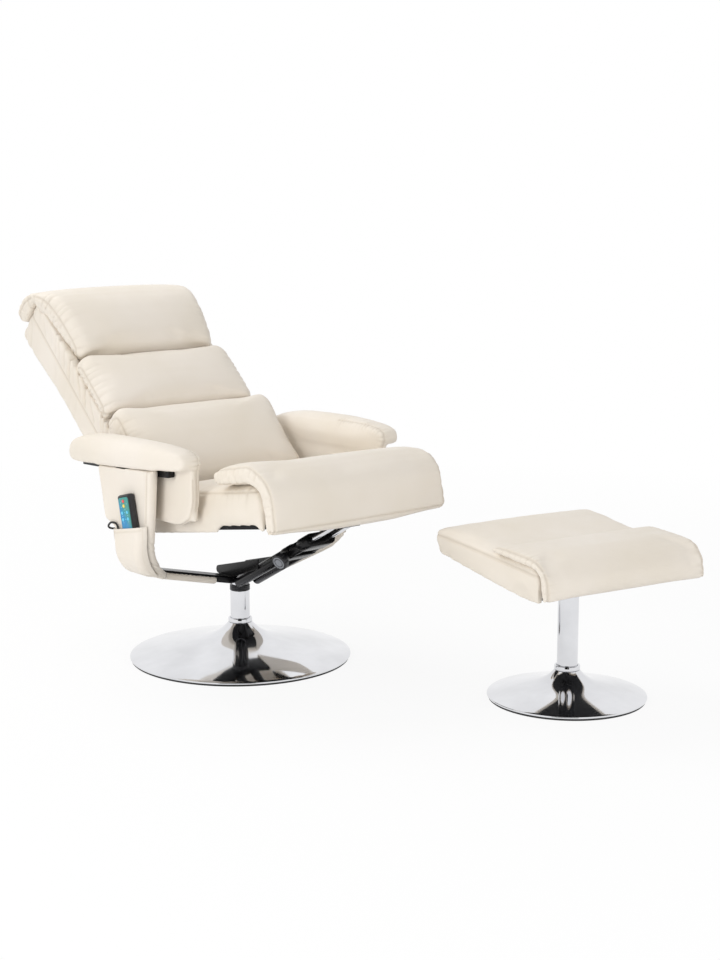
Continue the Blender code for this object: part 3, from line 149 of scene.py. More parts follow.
def addNode(tree, kind, inputs=None, **settings):
    node = tree.nodes.new(kind)
    setAll(node, settings)
    feed(tree, node, inputs or {})
    return node


def noiseNode(tree, coords, scale, detail=2.0, stretch=(1, 1, 1)):
    mapped = addNode(tree, "ShaderNodeMapping", {"Scale": stretch, "Vector": coords}).outputs["Vector"]
    facts = {"Scale": scale, "Detail": detail, "Vector": mapped}
    return addNode(tree, "ShaderNodeTexNoise", facts).outputs["Fac"]


def rangeNode(tree, value, low, high, start=0.3, end=0.7):
    facts = {"From Min": start, "From Max": end, "To Min": low, "To Max": high, "Value": value}
    return addNode(tree, "ShaderNodeMapRange", facts).outputs["Result"]


def mixColour(tree, factor, first, second):
    first, second = [(*c, 1) if isinstance(c, tuple) else c for c in (first, second)]
    facts = {"Factor": factor, 6: first, 7: second}
    return addNode(tree, "ShaderNodeMix", facts, data_type="RGBA").outputs[2]


def mathNode(tree, operation, *values):
    return addNode(tree, "ShaderNodeMath", dict(enumerate(values)), operation=operation).outputs[0]


def bumpNode(tree, height, strength, distance, under=None):
    facts = {"Strength": strength, "Distance": distance, "Height": height}
    if under:
        facts["Normal"] = under
    return addNode(tree, "ShaderNodeBump", facts).outputs["Normal"]


def objectCoords(tree):
    return addNode(tree, "ShaderNodeTexCoord").outputs["Object"]


# The darkest leather colour is painted shade, laid into seam grooves and the valleys of folds
leatherLook = {
    "light": (0.82, 0.757, 0.677), "deep": (0.775, 0.707, 0.608), "fold": (0.52, 0.44, 0.345),
    "foldShadeShare": 0.62, "pore": 850.0, "matt": 0.54, "shine": 0.40, "specular": 0.42, "sheen": 0.06,
}


def makeLeather(name, look):
    tree, shader = startMaterial(name)
    coords = objectCoords(tree)
    mottle = rangeNode(tree, noiseNode(tree, coords, 5.0, 3.0), 0.0, 1.0)
    colour = mixColour(tree, mottle, look["light"], look["deep"])
    fold = addNode(tree, "ShaderNodeAttribute", attribute_name="fold").outputs["Fac"]
    shade = rangeNode(tree, fold, 0.0, look["foldShadeShare"], 0.0, 1.0)
    pores = addNode(tree, "ShaderNodeTexVoronoi", {"Scale": look["pore"], "Vector": coords})
    normal = bumpNode(tree, noiseNode(tree, coords, 70.0, 2.0), 0.10, 0.0012)
    # Painted shade: the darker colour is mixed in by each point's share of fold shade
    feed(tree, shader, {
        "Base Color": mixColour(tree, shade, colour, look["fold"]),
        "Roughness": rangeNode(tree, noiseNode(tree, coords, 38.0, 2.0), look["shine"], look["matt"]),
        "Normal": bumpNode(tree, pores.outputs["Distance"], 0.16, 0.0005, normal),
        "Specular IOR Level": look["specular"], "Sheen Weight": look["sheen"],
    })


def makeMetal(name, colour, smooth, smudged, metallic=1.0, shine=0.5, grain=0.0, brushed=(1, 1, 1)):
    tree, shader = startMaterial(name)
    coords = objectCoords(tree)
    dust = noiseNode(tree, coords, 9.0, 4.0, brushed)
    dull = tuple(c * 0.86 for c in colour)
    feed(tree, shader, {
        "Base Color": mixColour(tree, rangeNode(tree, dust, 0, 1), colour, dull), "Metallic": metallic,
        "Roughness": rangeNode(tree, dust, smooth, smudged), "Specular IOR Level": shine,
    })
    if grain:
        height = noiseNode(tree, coords, grain, 2.0, brushed)
        feed(tree, shader, {"Normal": bumpNode(tree, height, 0.12, 0.0004)})


def makePlastic(name, colour, smooth, matt, grain=1500.0, strength=0.12):
    tree, shader = startMaterial(name)
    coords = objectCoords(tree)
    wear = noiseNode(tree, coords, 24.0, 3.0)
    pale = tuple(min(1.0, c * 1.25 + 0.004) for c in colour)
    feed(tree, shader, {
        "Base Color": mixColour(tree, rangeNode(tree, wear, 0, 1), colour, pale),
        "Roughness": rangeNode(tree, wear, smooth, matt),
        "Normal": bumpNode(tree, noiseNode(tree, coords, grain, 1.0), strength, 0.0003),
    })


def makePlywood(name, light, dark):
    tree, shader = startMaterial(name)
    grain = noiseNode(tree, objectCoords(tree), 6.0, 6.0, (14, 2, 1))
    feed(tree, shader, {
        "Base Color": mixColour(tree, rangeNode(tree, grain, 0, 1), light, dark), "Roughness": 0.7,
        "Normal": bumpNode(tree, grain, 0.2, 0.0006),
    })


def makeDustCloth(name, colour, pitch):
    tree, shader = startMaterial(name)
    facts = {"Scale": pitch, "Distortion": 0.6, "Vector": objectCoords(tree)}
    waves = [addNode(tree, "ShaderNodeTexWave", facts, bands_direction=axis) for axis in "XY"]
    weave = mathNode(tree, "MULTIPLY", *(wave.outputs["Fac"] for wave in waves))
    pale = tuple(c * 2.2 for c in colour)
    feed(tree, shader, {
        "Base Color": mixColour(tree, weave, colour, pale), "Roughness": 0.9,
        "Normal": bumpNode(tree, weave, 0.4, 0.0004),
    })


# Two colours that run into each other along a slanted line through the spot
def makeKeypad(name, upper, lower, spot):
    tree, shader = startMaterial(name)
    coords = objectCoords(tree)
    mapping = addNode(tree, "ShaderNodeMapping", {"Location": [-c for c in spot], "Vector": coords})
    parts = addNode(tree, "ShaderNodeSeparateXYZ", {"Vector": mapping.outputs["Vector"]}).outputs
    slant = mathNode(tree, "MULTIPLY_ADD", parts["Y"], -1.1, parts["Z"])
    shift = mathNode(tree, "MULTIPLY_ADD", noiseNode(tree, coords, 90.0, 1.0), 0.006, slant)
    factor = rangeNode(tree, shift, 0.0, 1.0, -0.012, 0.016)
    feed(tree, shader, {"Base Color": mixColour(tree, factor, lower, upper), "Roughness": 0.34})


makeLeather("cream_leather", leatherLook)
makeMetal("chrome", (0.79, 0.795, 0.82), 0.035, 0.075)
makeMetal("black_steel", (0.006, 0.006, 0.0065), 0.20, 0.28, 0.0, 0.22, 420.0)
makeMetal("bright_steel", (0.55, 0.55, 0.56), 0.28, 0.42, 1.0, 0.5, 300.0, (1, 12, 1))
makePlastic("black_plastic", (0.014, 0.014, 0.016), 0.34, 0.46)
makePlastic("black_rubber", (0.018, 0.018, 0.018), 0.62, 0.8, 900.0, 0.25)
makePlywood("plywood", (0.52, 0.37, 0.22), (0.36, 0.24, 0.13))
makeDustCloth("black_board", (0.010, 0.010, 0.011), 620.0)
makeKeypad("teal_film", (0.055, 0.30, 0.27), (0.02, 0.25, 0.52), boxMiddle("handset_face"))
keyColours = {"red": (0.74, 0.09, 0.09), "yellow": (0.86, 0.62, 0.12), "blue": (0.13, 0.52, 0.72)}
for key, colour in keyColours.items():
    makePlastic(key + "_key", colour, 0.36, 0.48)
makePlastic("icon_print", (0.30, 0.66, 0.82), 0.40, 0.50)
makePlastic("cream_thread", (0.66, 0.58, 0.47), 0.66, 0.8, 2600.0, 0.3)
makePlastic("grey_cap", (0.20, 0.21, 0.23), 0.30, 0.42)
print("materials:", len(materials))


# Common tools

weld = {"solid": 0.00002, "turned": 0.000005}


def addPiece(name, mesh, skin, body, replaced=()):
    piece = addObject(name, mesh)
    mesh.materials.clear()
    mesh.materials.append(materials[skin])
    if body:
        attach(piece, body)
    if replaced:
        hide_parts(*replaced)
    return piece


def builtMesh(builder, name, smooth=True):
    mesh = bpy.data.meshes.new(name)
    builder.to_mesh(mesh)
    builder.free()
    if smooth:
        mesh.shade_smooth()
    return mesh


def plainMesh(piece):
    graph = bpy.context.evaluated_depsgraph_get()
    return bpy.data.meshes.new_from_object(piece.evaluated_get(graph))


# Makes what a piece's modifiers give its plain mesh
def baked(piece):
    mesh, old = plainMesh(piece), piece.data
    piece.modifiers.clear()
    piece.data = mesh
    bpy.data.meshes.remove(old)
    return mesh


def modify(piece, name, kind, **settings):
    setAll(piece.modifiers.new(name, kind), settings)


def turnAngles(steps):
    return [2 * math.pi * j / steps for j in range(steps)]


def joinRings(builder, pairs):
    for low, high in pairs:
        for j in range(len(low)):
            k = (j + 1) % len(low)
            builder.faces.new((low[j], low[k], high[k], high[j]))


def camelName(nodeName):
    first, *rest = nodeName.split("_")
    return first + "".join(word.capitalize() for word in rest)


def readArray(rows, key):
    values = np.zeros(len(rows) * 3, np.float32)
    rows.foreach_get(key, values)
    return values.reshape(-1, 3).astype(float)


# A piece that stands for one solid
def solidPiece(nodeName, mesh):
    slot = slotOf[nodeName]
    return addPiece(camelName(nodeName), mesh, slot, nodes[nodeName]["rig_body"], [nodeName])


def vertexArray(mesh):
    return readArray(mesh.vertices, "co")


def normalArray(mesh):
    return readArray(mesh.vertex_normals, "vector")


def setVertices(mesh, spots):
    mesh.vertices.foreach_set("co", spots.astype(np.float32).ravel())
    mesh.update()


def localArray(spots, place):
    back = np.array(place.inverted())
    return spots @ back[:3, :3].T + back[:3, 3]


# Machined pieces: the solids with rounded edges and smooth shading

machinedEdges = {
    "carrier_frame": 0.0016, "tube_end_block": 0.0022, "clamp_sleeve": 0.0022, "slide_tube": 0.0012,
    "slide_rod": 0.0010, "rod_crosshead": 0.0015, "hinge_plate": 0.0008, "arm_bracket": 0.0010,
    "recline_knob": 0.0007, "control_box": 0.0004, "seat_board": 0.0015, "stool_board": 0.0015,
    "stool_mount": 0.0015, "cord_grommet": 0.0012, "back_frame": 0.0012, "back_board": 0.0012,
    "seat_motor": 0.0012, "back_motor": 0.0012, "handset_face": 0.0003, "button_power": 0.0007,
    "button_heat": 0.0007, "button_mode_up": 0.0007, "button_mode_down": 0.0007,
    "button_level_up": 0.0007, "button_level_down": 0.0007,
}


def machined(nodeName, width, flat=0.6, sharp=32):
    builder = bmesh.new()
    builder.from_mesh(nodes[nodeName].data)
    bmesh.ops.remove_doubles(builder, verts=builder.verts, dist=weld["solid"])
    bmesh.ops.dissolve_limit(
        builder, angle_limit=math.radians(flat), verts=builder.verts, edges=builder.edges, delimit=set()
    )
    piece = solidPiece(nodeName, builtMesh(builder, nodeName + "Copy"))
    modify(
        piece, "rounded edges", "BEVEL", width=width, segments=3, limit_method="ANGLE",
        angle_limit=math.radians(sharp), harden_normals=True,
    )


for name, width in machinedEdges.items():
    for nodeName in [name] if name in nodes else [name + "_right", name + "_left"]:
        machined(nodeName, width)
print("machined pieces made")


# Turned pieces: the two pedestals and the swivel

pedestalSizes = {
    "column": 0.025, "wall": 0.0035, "fit": 0.0004, "neckWall": 0.005, "dishWall": 0.004,
    "ringHeight": 0.005, "ringInset": 0.003, "ringWidth": 0.018, "lip": 0.004, "trumpet": 0.60,
    "swell": 0.12, "collarWall": 0.0055, "collarLip": (0.001, 0.002), "edge": 0.0015, "dishEdge": 0.0016,
    "plateEdge": 0.001, "rows": 40, "spread": 1.6, "steps": 144,
    "chairRadius": 0.285, "chairHeight": 0.0926, "stoolRadius": 0.191, "stoolHeight": 0.07,
}


def roundedProfile(points, radius, steps=3, share=0.45, straight=math.radians(150)):
    spots = [Vector(p) for p in points]
    made = []
    for i, spot in enumerate(spots):
        before, after = spots[i - 1] - spot, spots[(i + 1) % len(spots)] - spot
        reach = min(radius, share * before.length, share * after.length)
        if before.angle(after, math.pi) > straight:
            made.append(spot)
            continue
        start, end = spot + before.normalized() * reach, spot + after.normalized() * reach
        for s in range(steps + 1):
            t = s / steps
            made.append(start * (1 - t) ** 2 + spot * 2 * t * (1 - t) + end * t * t)
    return made


def turnedMesh(name, profile, place, steps):
    builder = bmesh.new()
    rings = []
    for out, up in profile:
        ring = [(out * math.cos(a), out * math.sin(a), up) for a in turnAngles(steps)]
        rings.append([builder.verts.new(p) for p in ring])
    joinRings(builder, zip(rings, rings[1:] + rings[:1]))
    bmesh.ops.remove_doubles(builder, verts=builder.verts, dist=weld["turned"])
    bmesh.ops.recalc_face_normals(builder, faces=builder.faces)
    bmesh.ops.transform(builder, matrix=place, verts=builder.verts)
    return builtMesh(builder, name)


def tubeProfile(inner, outer, low, high):
    return [(inner, high), (outer, high), (outer, low), (inner, low)]


def turnedPiece(nodeName, profile, place, radius=0.0008):
    profile = roundedProfile(profile, radius)
    solidPiece(nodeName, turnedMesh(camelName(nodeName), profile, place, pedestalSizes["steps"]))


def trumpetHeight(radius, neck, rim, top, foot):
    share = (radius - neck) / (rim - neck)
    curve = pedestalSizes["trumpet"]
    cone = curve * (1 - share) + pedestalSizes["swell"] * share * (1 - share)
    return foot + (top - foot) * (cone + (1 - curve) * (1 - share) ** 8)


def makePedestal(prefix, place, radius, height):
    p = pedestalSizes
    bore = p["column"] + p["fit"]
    neck = bore + p["neckWall"]
    foot = p["ringHeight"] + p["fit"]
    shares = [(i / p["rows"]) ** p["spread"] for i in range(p["rows"] + 1)]
    outside = [neck + (radius - neck) * s for s in shares]
    profile = [(r, trumpetHeight(r, neck, radius, height, foot + p["lip"])) for r in outside]
    profile.append((radius, foot))
    rim = radius - p["ringInset"] - p["ringWidth"] - p["edge"]
    for s in reversed(shares[::2]):
        r = bore + (rim - bore) * s
        profile.append((r, trumpetHeight(r, bore, rim, height - 2 * p["dishWall"], foot)))
    profile.append((bore, height))
    turnedPiece(prefix + "_dish", profile, place, p["dishEdge"])
    outer = radius - p["ringInset"]
    ring = tubeProfile(outer - p["ringWidth"], outer, 0, p["ringHeight"])
    turnedPiece(prefix + "_floor_ring", ring, place, p["edge"])
    low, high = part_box(prefix + "_column")
    column = tubeProfile(p["column"] - p["wall"], p["column"], low.z, high.z)
    turnedPiece(prefix + "_column", column, place)
    low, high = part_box(prefix + "_collar")
    wide, (inset, fall) = bore + p["collarWall"], p["collarLip"]
    collar = [(bore, high.z), (wide - inset, high.z), (wide, high.z - fall), (wide, low.z), (bore, low.z)]
    turnedPiece(prefix + "_collar", collar, place, p["edge"])
    low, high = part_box(prefix + "_tie_plate")
    plate = tubeProfile(0, (high.x - low.x) / 2, low.z, high.z)
    turnedPiece(prefix + "_tie_plate", plate, place, p["plateEdge"])


swivelSizes = {
    "bore": 0.0147, "sleeve": 0.0211, "shelf": 0.013, "grooves": (0.72, 0.36), "groove": 0.0012,
    "spindle": 0.014, "step": 0.012, "edge": 0.001,
}


def makeSwivel(sizes):
    low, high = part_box("swivel_bush")
    rim, bore, sleeve, deep = (high.x - low.x) / 2, sizes["bore"], sizes["sleeve"], sizes["groove"]
    shelf = high.z - sizes["shelf"]
    profile = [(bore, high.z), (rim, high.z)]
    for share in sizes["grooves"]:
        z = shelf + sizes["shelf"] * share
        profile += [(rim, z + deep), (rim - deep, z), (rim, z - deep)]
    profile += [(rim, shelf), (sleeve, shelf), (sleeve, low.z), (bore, low.z)]
    turnedPiece("swivel_bush", profile, chairFoot, sizes["edge"])
    low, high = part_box("swivel_spindle")
    shoulder, spindle, step = (high.x - low.x) / 2, sizes["spindle"], high.z - sizes["step"]
    profile = [(0, high.z), (shoulder, high.z), (shoulder, step)]
    profile += [(spindle, step), (spindle, low.z), (0, low.z)]
    turnedPiece("swivel_spindle", profile, chairFoot, sizes["edge"])


makePedestal("chair", chairFoot, pedestalSizes["chairRadius"], pedestalSizes["chairHeight"])
makePedestal("stool", stoolFrame, pedestalSizes["stoolRadius"], pedestalSizes["stoolHeight"])
makeSwivel(swivelSizes)
print("turned pieces made")


# Handset cord: its route from the handset to the grommet, in the carrier's frame

cordFacts = {
    "diameter": 0.005, "sides": 12, "step": 0.0025, "tilt": math.radians(14.0),
    "handset": (-0.058, 0.196), "foot": 0.0794, "stem": (0.0, 0.003, 0.006), "tip": 0.0004,
    "byHandset": [
        (0.013, -0.07, 0.103), (0.012, -0.046, 0.106), (0.005, -0.02, 0.13), (0.003, -0.007, 0.158),
        (0.006, 0.012, 0.181), (0.006, 0.036, 0.182), (0.011, 0.057, 0.169), (0.026, 0.066, 0.16),
    ],
    "byPanel": [(0.006, 0.058, 0.158), (0.018, 0.036, 0.163)],
    "byGrommet": [(0.019, 0.01, -0.003), (0.012, 0, 0), (0.006, 0, 0), (0, 0, 0)],
}


def smoothRoute(points, step):
    route = []
    ends = [2 * points[0] - points[1]] + points + [2 * points[-1] - points[-2]]
    for before, start, end, after in zip(ends, ends[1:], ends[2:], ends[3:]):
        count = max(2, round((end - start).length / step))
        for i in range(count):
            t = i / count
            bend = 2 * start + (end - before) * t + (2 * before - 5 * start + 4 * end - after) * t**2
            route.append(0.5 * (bend + (3 * start - before - 3 * end + after) * t**3))
    return route + [points[-1]]


def tubeMesh(name, route, radius, sides):
    builder = bmesh.new()
    rings = []
    across = None
    for i, spot in enumerate(route):
        heading = (route[min(i + 1, len(route) - 1)] - route[max(i - 1, 0)]).normalized()
        across = heading.orthogonal() if across is None else across - heading * across.dot(heading)
        across.normalize()
        other = heading.cross(across)
        ring = [spot + (across * math.cos(a) + other * math.sin(a)) * radius for a in turnAngles(sides)]
        rings.append([builder.verts.new(p) for p in ring])
    joinRings(builder, zip(rings, rings[1:]))
    builder.faces.new(rings[0])
    builder.faces.new(rings[-1])
    bmesh.ops.recalc_face_normals(builder, faces=builder.faces)
    return builtMesh(builder, name)


def makeCord(facts):
    toHub = hubFrame.inverted()
    x, grommet = (toHub @ boxMiddle("handset_shell")).x, toHub @ boxMiddle("cord_grommet")
    lean = Vector((0, math.sin(facts["tilt"]), math.cos(facts["tilt"])))
    tip = (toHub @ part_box("cord_grommet")[1]).x + facts["tip"]
    start = Vector((x, *facts["handset"])) - lean * facts["foot"]
    points = [start - lean * d for d in facts["stem"]]
    points += [Vector((x + dx, y, z)) for dx, y, z in facts["byHandset"]]
    points += [Vector((tip + dx, y, z)) for dx, y, z in facts["byPanel"]]
    points += [Vector((tip + dx, grommet.y + dy, grommet.z + dz)) for dx, dy, dz in facts["byGrommet"]]
    route = [hubFrame @ p for p in smoothRoute(points, facts["step"])]
    mesh = tubeMesh("handsetCord", route, facts["diameter"] / 2, facts["sides"])
    piece = addPiece("handsetCord", mesh, "black_rubber", "swivel_frame", ["handset_cord"])


makeCord(cordFacts)


# Soft pieces: each starts from its solid, is remeshed finely, filled by cloth pressure and then sewn

stitchRows = {}
runSpacing = 0.002
plainSeam = {
    "width": 0.003, "depth": 0.0022, "gather": 0.0, "pitch": 0.02, "reach": 0.03, "seed": 1.0,
    "shade": 0.8, "where": lambda p: 1.0, "keep": lambda p: True, "stitches": (),
}


def treeOf(nodeNames):
    spots, faces = [], []
    for name in nodeNames:
        mesh = nodes[name].data
        first = len(spots)
        spots += [tuple(v.co) for v in mesh.vertices]
        faces += [tuple(first + i for i in p.vertices) for p in mesh.polygons]
    return BVHTree.FromPolygons(spots, faces)


def remeshed(piece, voxel, smoothing):
    modify(piece, "even grid", "REMESH", mode="VOXEL", voxel_size=voxel, use_smooth_shade=True)
    modify(piece, "relax", "SMOOTH", factor=0.5, iterations=smoothing)
    baked(piece)


def heldWeights(piece, heldBy, grip=0.004):
    weights = np.zeros(len(piece.data.vertices))
    if not heldBy:
        return weights
    tree = treeOf(heldBy)
    for i, vert in enumerate(piece.data.vertices):
        hit = tree.find_nearest(vert.co, 3 * grip)
        if hit[0] is not None:
            weights[i] = min(1.0, max(0.0, 1.5 - 0.5 * hit[3] / grip))
    return weights


# Shares each point's move with its neighbours, so that no small dents are left
def evened(mesh, moved, rounds=8):
    ends = np.zeros(len(mesh.edges) * 2, np.int32)
    mesh.edges.foreach_get("vertices", ends)
    first, second = ends.reshape(-1, 2).T
    count = np.bincount(ends, minlength=len(moved))[:, None]
    for _ in range(rounds):
        total = np.zeros_like(moved)
        np.add.at(total, first, moved[second])
        np.add.at(total, second, moved[first])
        moved = 0.5 * moved + 0.5 * total / count
    return moved


clothFacts = {
    "quality": 4, "mass": 0.3, "tension_stiffness": 18, "compression_stiffness": 18, "shear_stiffness": 8,
    "bending_stiffness": 1.5, "use_pressure": True, "vertex_group_mass": "held",
}
clothSteps = 20


# Blows the piece up by cloth pressure, by about the cap at most
def filled(piece, held, pressure, cap):
    start = vertexArray(piece.data)
    group = piece.vertex_groups.new(name="held")
    for i in np.nonzero(held > 0)[0]:
        group.add([int(i)], float(held[i]), "REPLACE")
    cloth = piece.modifiers.new("filling", "CLOTH")
    setAll(cloth.settings, {**clothFacts, "uniform_pressure_force": pressure})
    cloth.settings.effector_weights.gravity = 0
    setAll(cloth.collision_settings, {"use_collision": False, "use_self_collision": False})
    setAll(cloth.point_cache, {"frame_start": 1, "frame_end": clothSteps})
    for step in range(1, clothSteps + 1):
        scene.frame_set(step)
    result = plainMesh(piece)
    moved = vertexArray(result) - start
    bpy.data.meshes.remove(result)
    piece.modifiers.clear()
    piece.vertex_groups.clear()
    scene.frame_set(1)
    length = np.maximum(np.linalg.norm(moved, axis=1, keepdims=True), 1e-9)
    moved = evened(piece.data, moved * cap * np.tanh(length / cap) / length) * (1 - held)[:, None]
    setVertices(piece.data, start + moved)


def refined(piece):
    modify(piece, "finer", "SUBSURF", levels=1, render_levels=1)
    mesh = baked(piece)
    mesh.shade_smooth()
    # Each point's share of painted shade in seam grooves and fold valleys, filled in by sewing and creasing
    mesh.attributes.new("fold", "FLOAT", "POINT")


def orderedRuns(edges):
    links = {}
    for edge in edges:
        a, b = edge.verts
        links.setdefault(a, []).append(b)
        links.setdefault(b, []).append(a)
    seen = set()
    runs = []
    starts = [v for v in links if len(links[v]) == 1] + list(links)
    for start in starts:
        if start in seen:
            continue
        run = [start]
        seen.add(start)
        while True:
            onward = [v for v in links[run[-1]] if v not in seen]
            if not onward:
                break
            run.append(onward[0])
            seen.add(onward[0])
        closed = len(run) > 3 and run[0] in links[run[-1]]
        runs.append((run, closed))
    return runs


# Where a seam's plane, moved by an offset, crosses a piece, as even runs of points
def planeRuns(piece, place, seam, offset=0.0, shortest=0.03):
    spot = Vector(seam["at"]) + Vector(seam["normal"]).normalized() * offset
    builder = bmesh.new()
    builder.from_mesh(piece.data)
    everything = builder.verts[:] + builder.edges[:] + builder.faces[:]
    cut = bmesh.ops.bisect_plane(
        builder, geom=everything, dist=1e-7, plane_co=place @ spot,
        plane_no=place.to_3x3() @ Vector(seam["normal"]),
    )
    edges = [e for e in cut["geom_cut"] if isinstance(e, bmesh.types.BMEdge)]
    back = place.inverted()
    runs = []
    for run, closed in orderedRuns(edges):
        points = [v.co.copy() for v in run]
        flags = [seam["keep"](back @ p) for p in points]
        if closed and all(flags):
            runs.append(points + [points[0]])
            continue
        if closed:
            first = flags.index(False)
            points, flags = points[first:] + points[:first], flags[first:] + flags[:first]
        current = []
        for point, flag in zip(points + [None], flags + [False]):
            if flag:
                current.append(point)
            elif current:
                runs.append(current)
                current = []
    builder.free()
    return [r for r in (evenRun(run) for run in runs) if len(r) * runSpacing > shortest]


def evenRun(points):
    if len(points) < 2:
        return points
    spots = np.array([tuple(p) for p in points])
    gaps = np.linalg.norm(np.diff(spots, axis=0), axis=1)
    along = np.concatenate([[0], np.cumsum(gaps)])
    count = max(2, int(along[-1] / runSpacing))
    marks = np.linspace(0, along[-1], count)
    made = np.stack([np.interp(marks, along, spots[:, k]) for k in range(3)], axis=1)
    for _ in range(3):
        made[1:-1] = made[1:-1] * 0.5 + (made[:-2] + made[2:]) * 0.25
    return [Vector(p) for p in made]


# A leather mesh's points, normals and shares of fold shade
def leatherArrays(mesh):
    paintedShade = np.zeros(len(mesh.vertices), np.float32)
    mesh.attributes["fold"].data.foreach_get("value", paintedShade)
    return vertexArray(mesh), normalArray(mesh), paintedShade


def setLeather(mesh, spots, paintedShade):
    setVertices(mesh, spots)
    mesh.attributes["fold"].data.foreach_set("value", paintedShade)


def drift(*spot):
    return noise.noise(Vector(spot))


# Round ridges with sharp valleys between them, as gathered leather has
def gatherWave(s, seed):
    turn = s + 1.1 * drift(0.45 * s, seed, 0.5)
    swell = max(0.05, 0.7 + 1.3 * drift(0.55 * s, seed + 7.0, 2.0))
    return swell * (2.0 * abs(math.sin(math.pi * turn)) ** 0.9 - 1.2)


# Pulls the leather in along a line and gathers it beside the line, and paints shade into the groove and
# into the gathers' valleys
def sewn(piece, place, runs, seam):
    spots, turns, paintedShade = leatherArrays(piece.data)
    points, along = [], []
    for run in runs:
        first = len(points)
        points += run
        along += [runSpacing * i + 7.3 * first for i in range(len(run))]
    if not points:
        return
    tree = KDTree(len(points))
    for i, point in enumerate(points):
        tree.insert(point, i)
    tree.balance()
    width, gather, reach, back = seam["width"], seam["gather"], seam["reach"], place.inverted()
    limit = max(4 * width, 2.5 * reach if gather else 0)
    low = np.array([min(p[k] for p in points) for k in range(3)]) - limit
    high = np.array([max(p[k] for p in points) for k in range(3)]) + limit
    near = np.nonzero(np.all((spots > low) & (spots < high), axis=1))[0]
    for i in near:
        spot = Vector(spots[i])
        _, index, distance = tree.find(spot)
        if distance > limit:
            continue
        groove = math.exp(-((distance / width) ** 2))
        move = -seam["depth"] * groove
        if gather:
            fade = seam["where"](back @ spot) * math.exp(-((distance / reach) ** 1.5)) * (1 - 0.6 * groove)
            wave = gatherWave(along[index] / seam["pitch"], seam["seed"] * 3.1)
            move += gather * fade * wave
            # Painted shade in the valleys of the gathers
            paintedShade[i] = max(paintedShade[i], 0.5 * fade * max(0.0, -wave))
        spots[i] += turns[i] * move
        # Painted shade along the seam's groove
        paintedShade[i] = max(paintedShade[i], seam["shade"] * groove)
    setLeather(piece.data, spots, paintedShade)


# Folds that run across a region, with painted shade in their valleys; weight is 0 to 1 for points of the
# frame
def crumpled(piece, place, crease):
    spots, turns, paintedShade = leatherArrays(piece.data)
    local = localArray(spots, place)
    along, weight, stretch = Vector(crease["along"]), crease["weight"], crease["stretch"]
    pitch, height, seed = crease["pitch"], crease["height"], crease["seed"]
    for i in range(len(spots)):
        point = Vector(local[i])
        share = weight(point)
        if share <= 0:
            continue
        aside = (point - along * along.dot(point)).length / stretch
        s = along.dot(point) / pitch
        s += 0.8 * drift(0.3 * s, seed, aside)
        wave = gatherWave(s, seed * 4.7) * (0.8 + 0.5 * drift(0.6 * s, aside, seed))
        spots[i] += turns[i] * height * share * wave
        # Painted shade in the valleys of the folds
        paintedShade[i] = max(paintedShade[i], crease["shade"] * share * max(0.0, -wave))
    setLeather(piece.data, spots, paintedShade)


# Moves a piece's points: a shape takes and gives x, y and z in the frame
def reshaped(piece, place, shape):
    turn = np.array(place)
    spots = np.stack(shape(*localArray(vertexArray(piece.data), place).T), axis=1)
    setVertices(piece.data, spots @ turn[:3, :3].T + turn[:3, 3])


# The solids that one soft piece stands for, with the blocks that fill between them
def startMesh(nodeNames, place, blocks):
    builder = bmesh.new()
    for name in nodeNames:
        builder.from_mesh(nodes[name].data)
    bmesh.ops.remove_doubles(builder, verts=builder.verts, dist=weld["solid"])
    for corners in blocks:
        fresh = [builder.verts.new(place @ Vector(c)) for c in corners]
        bmesh.ops.convex_hull(builder, input=fresh)
    return builtMesh(builder, camelName(nodeNames[0]), False)


def boxCorners(low, high):
    return [(x, y, z) for x in (low[0], high[0]) for y in (low[1], high[1]) for z in (low[2], high[2])]


def declareSoft(piece, body, nodeNames):
    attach(piece, body)
    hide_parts(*nodeNames)
    print(piece.name, len(piece.data.polygons), "faces")


# Merges faces where the form is flat
def thinned(piece, ratio):
    modify(piece, "thinner", "DECIMATE", ratio=ratio)
    baked(piece).shade_smooth()


def softPiece(settings, *nodeNames):
    body, place = nodes[nodeNames[0]]["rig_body"], settings["frame"]
    mesh = startMesh(nodeNames, place, settings.get("blocks", ()))
    piece = addPiece(camelName(nodeNames[0]), mesh, "cream_leather", None)
    remeshed(piece, settings["voxel"], settings.get("smoothing", 8))
    for shape in settings.get("before", ()):
        reshaped(piece, place, shape)
    held = heldWeights(piece, settings["heldBy"])
    if "stiff" in settings:
        held = np.maximum(held, settings["stiff"](localArray(vertexArray(piece.data), place)))
    if "shrink" in settings:
        inward = normalArray(piece.data) * settings["shrink"] * (1 - held)[:, None]
        setVertices(piece.data, vertexArray(piece.data) - inward)
    if "pressure" in settings:
        filled(piece, held, settings["pressure"], settings["cap"])
    for shape in settings.get("after", ()):
        reshaped(piece, place, shape)
    refined(piece)
    for crease in settings.get("creases", ()):
        crumpled(piece, place, crease)
    seams = [{**plainSeam, **seam} for seam in settings["seams"]]
    for seam in seams:
        sewn(piece, place, planeRuns(piece, place, seam), seam)
    for seam in seams:
        for offset in seam["stitches"]:
            stitchRows.setdefault(body, []).extend(planeRuns(piece, place, seam, offset))
    if "thinning" in settings:
        thinned(piece, settings["thinning"])
    declareSoft(piece, body, nodeNames)


# Runs softly from 0 to 1 between two values, for a number or an array
def soften(value, low, high):
    t = (value - low) / (high - low)
    t = np.clip(t, 0.0, 1.0) if isinstance(t, np.ndarray) else min(1.0, max(0.0, t))
    return t * t * (3 - 2 * t)


def endSeams(half, inset, keep, slope=0.0, height=0.0, **more):
    spots = {side: (side * (half - inset), 0, height) for side in (-1, 1)}
    return [{"at": spots[side], "normal": (side, 0, -slope), "keep": keep, **more} for side in spots]


# Back: head, middle and lumbar cushions on a shell whose sides are gathered

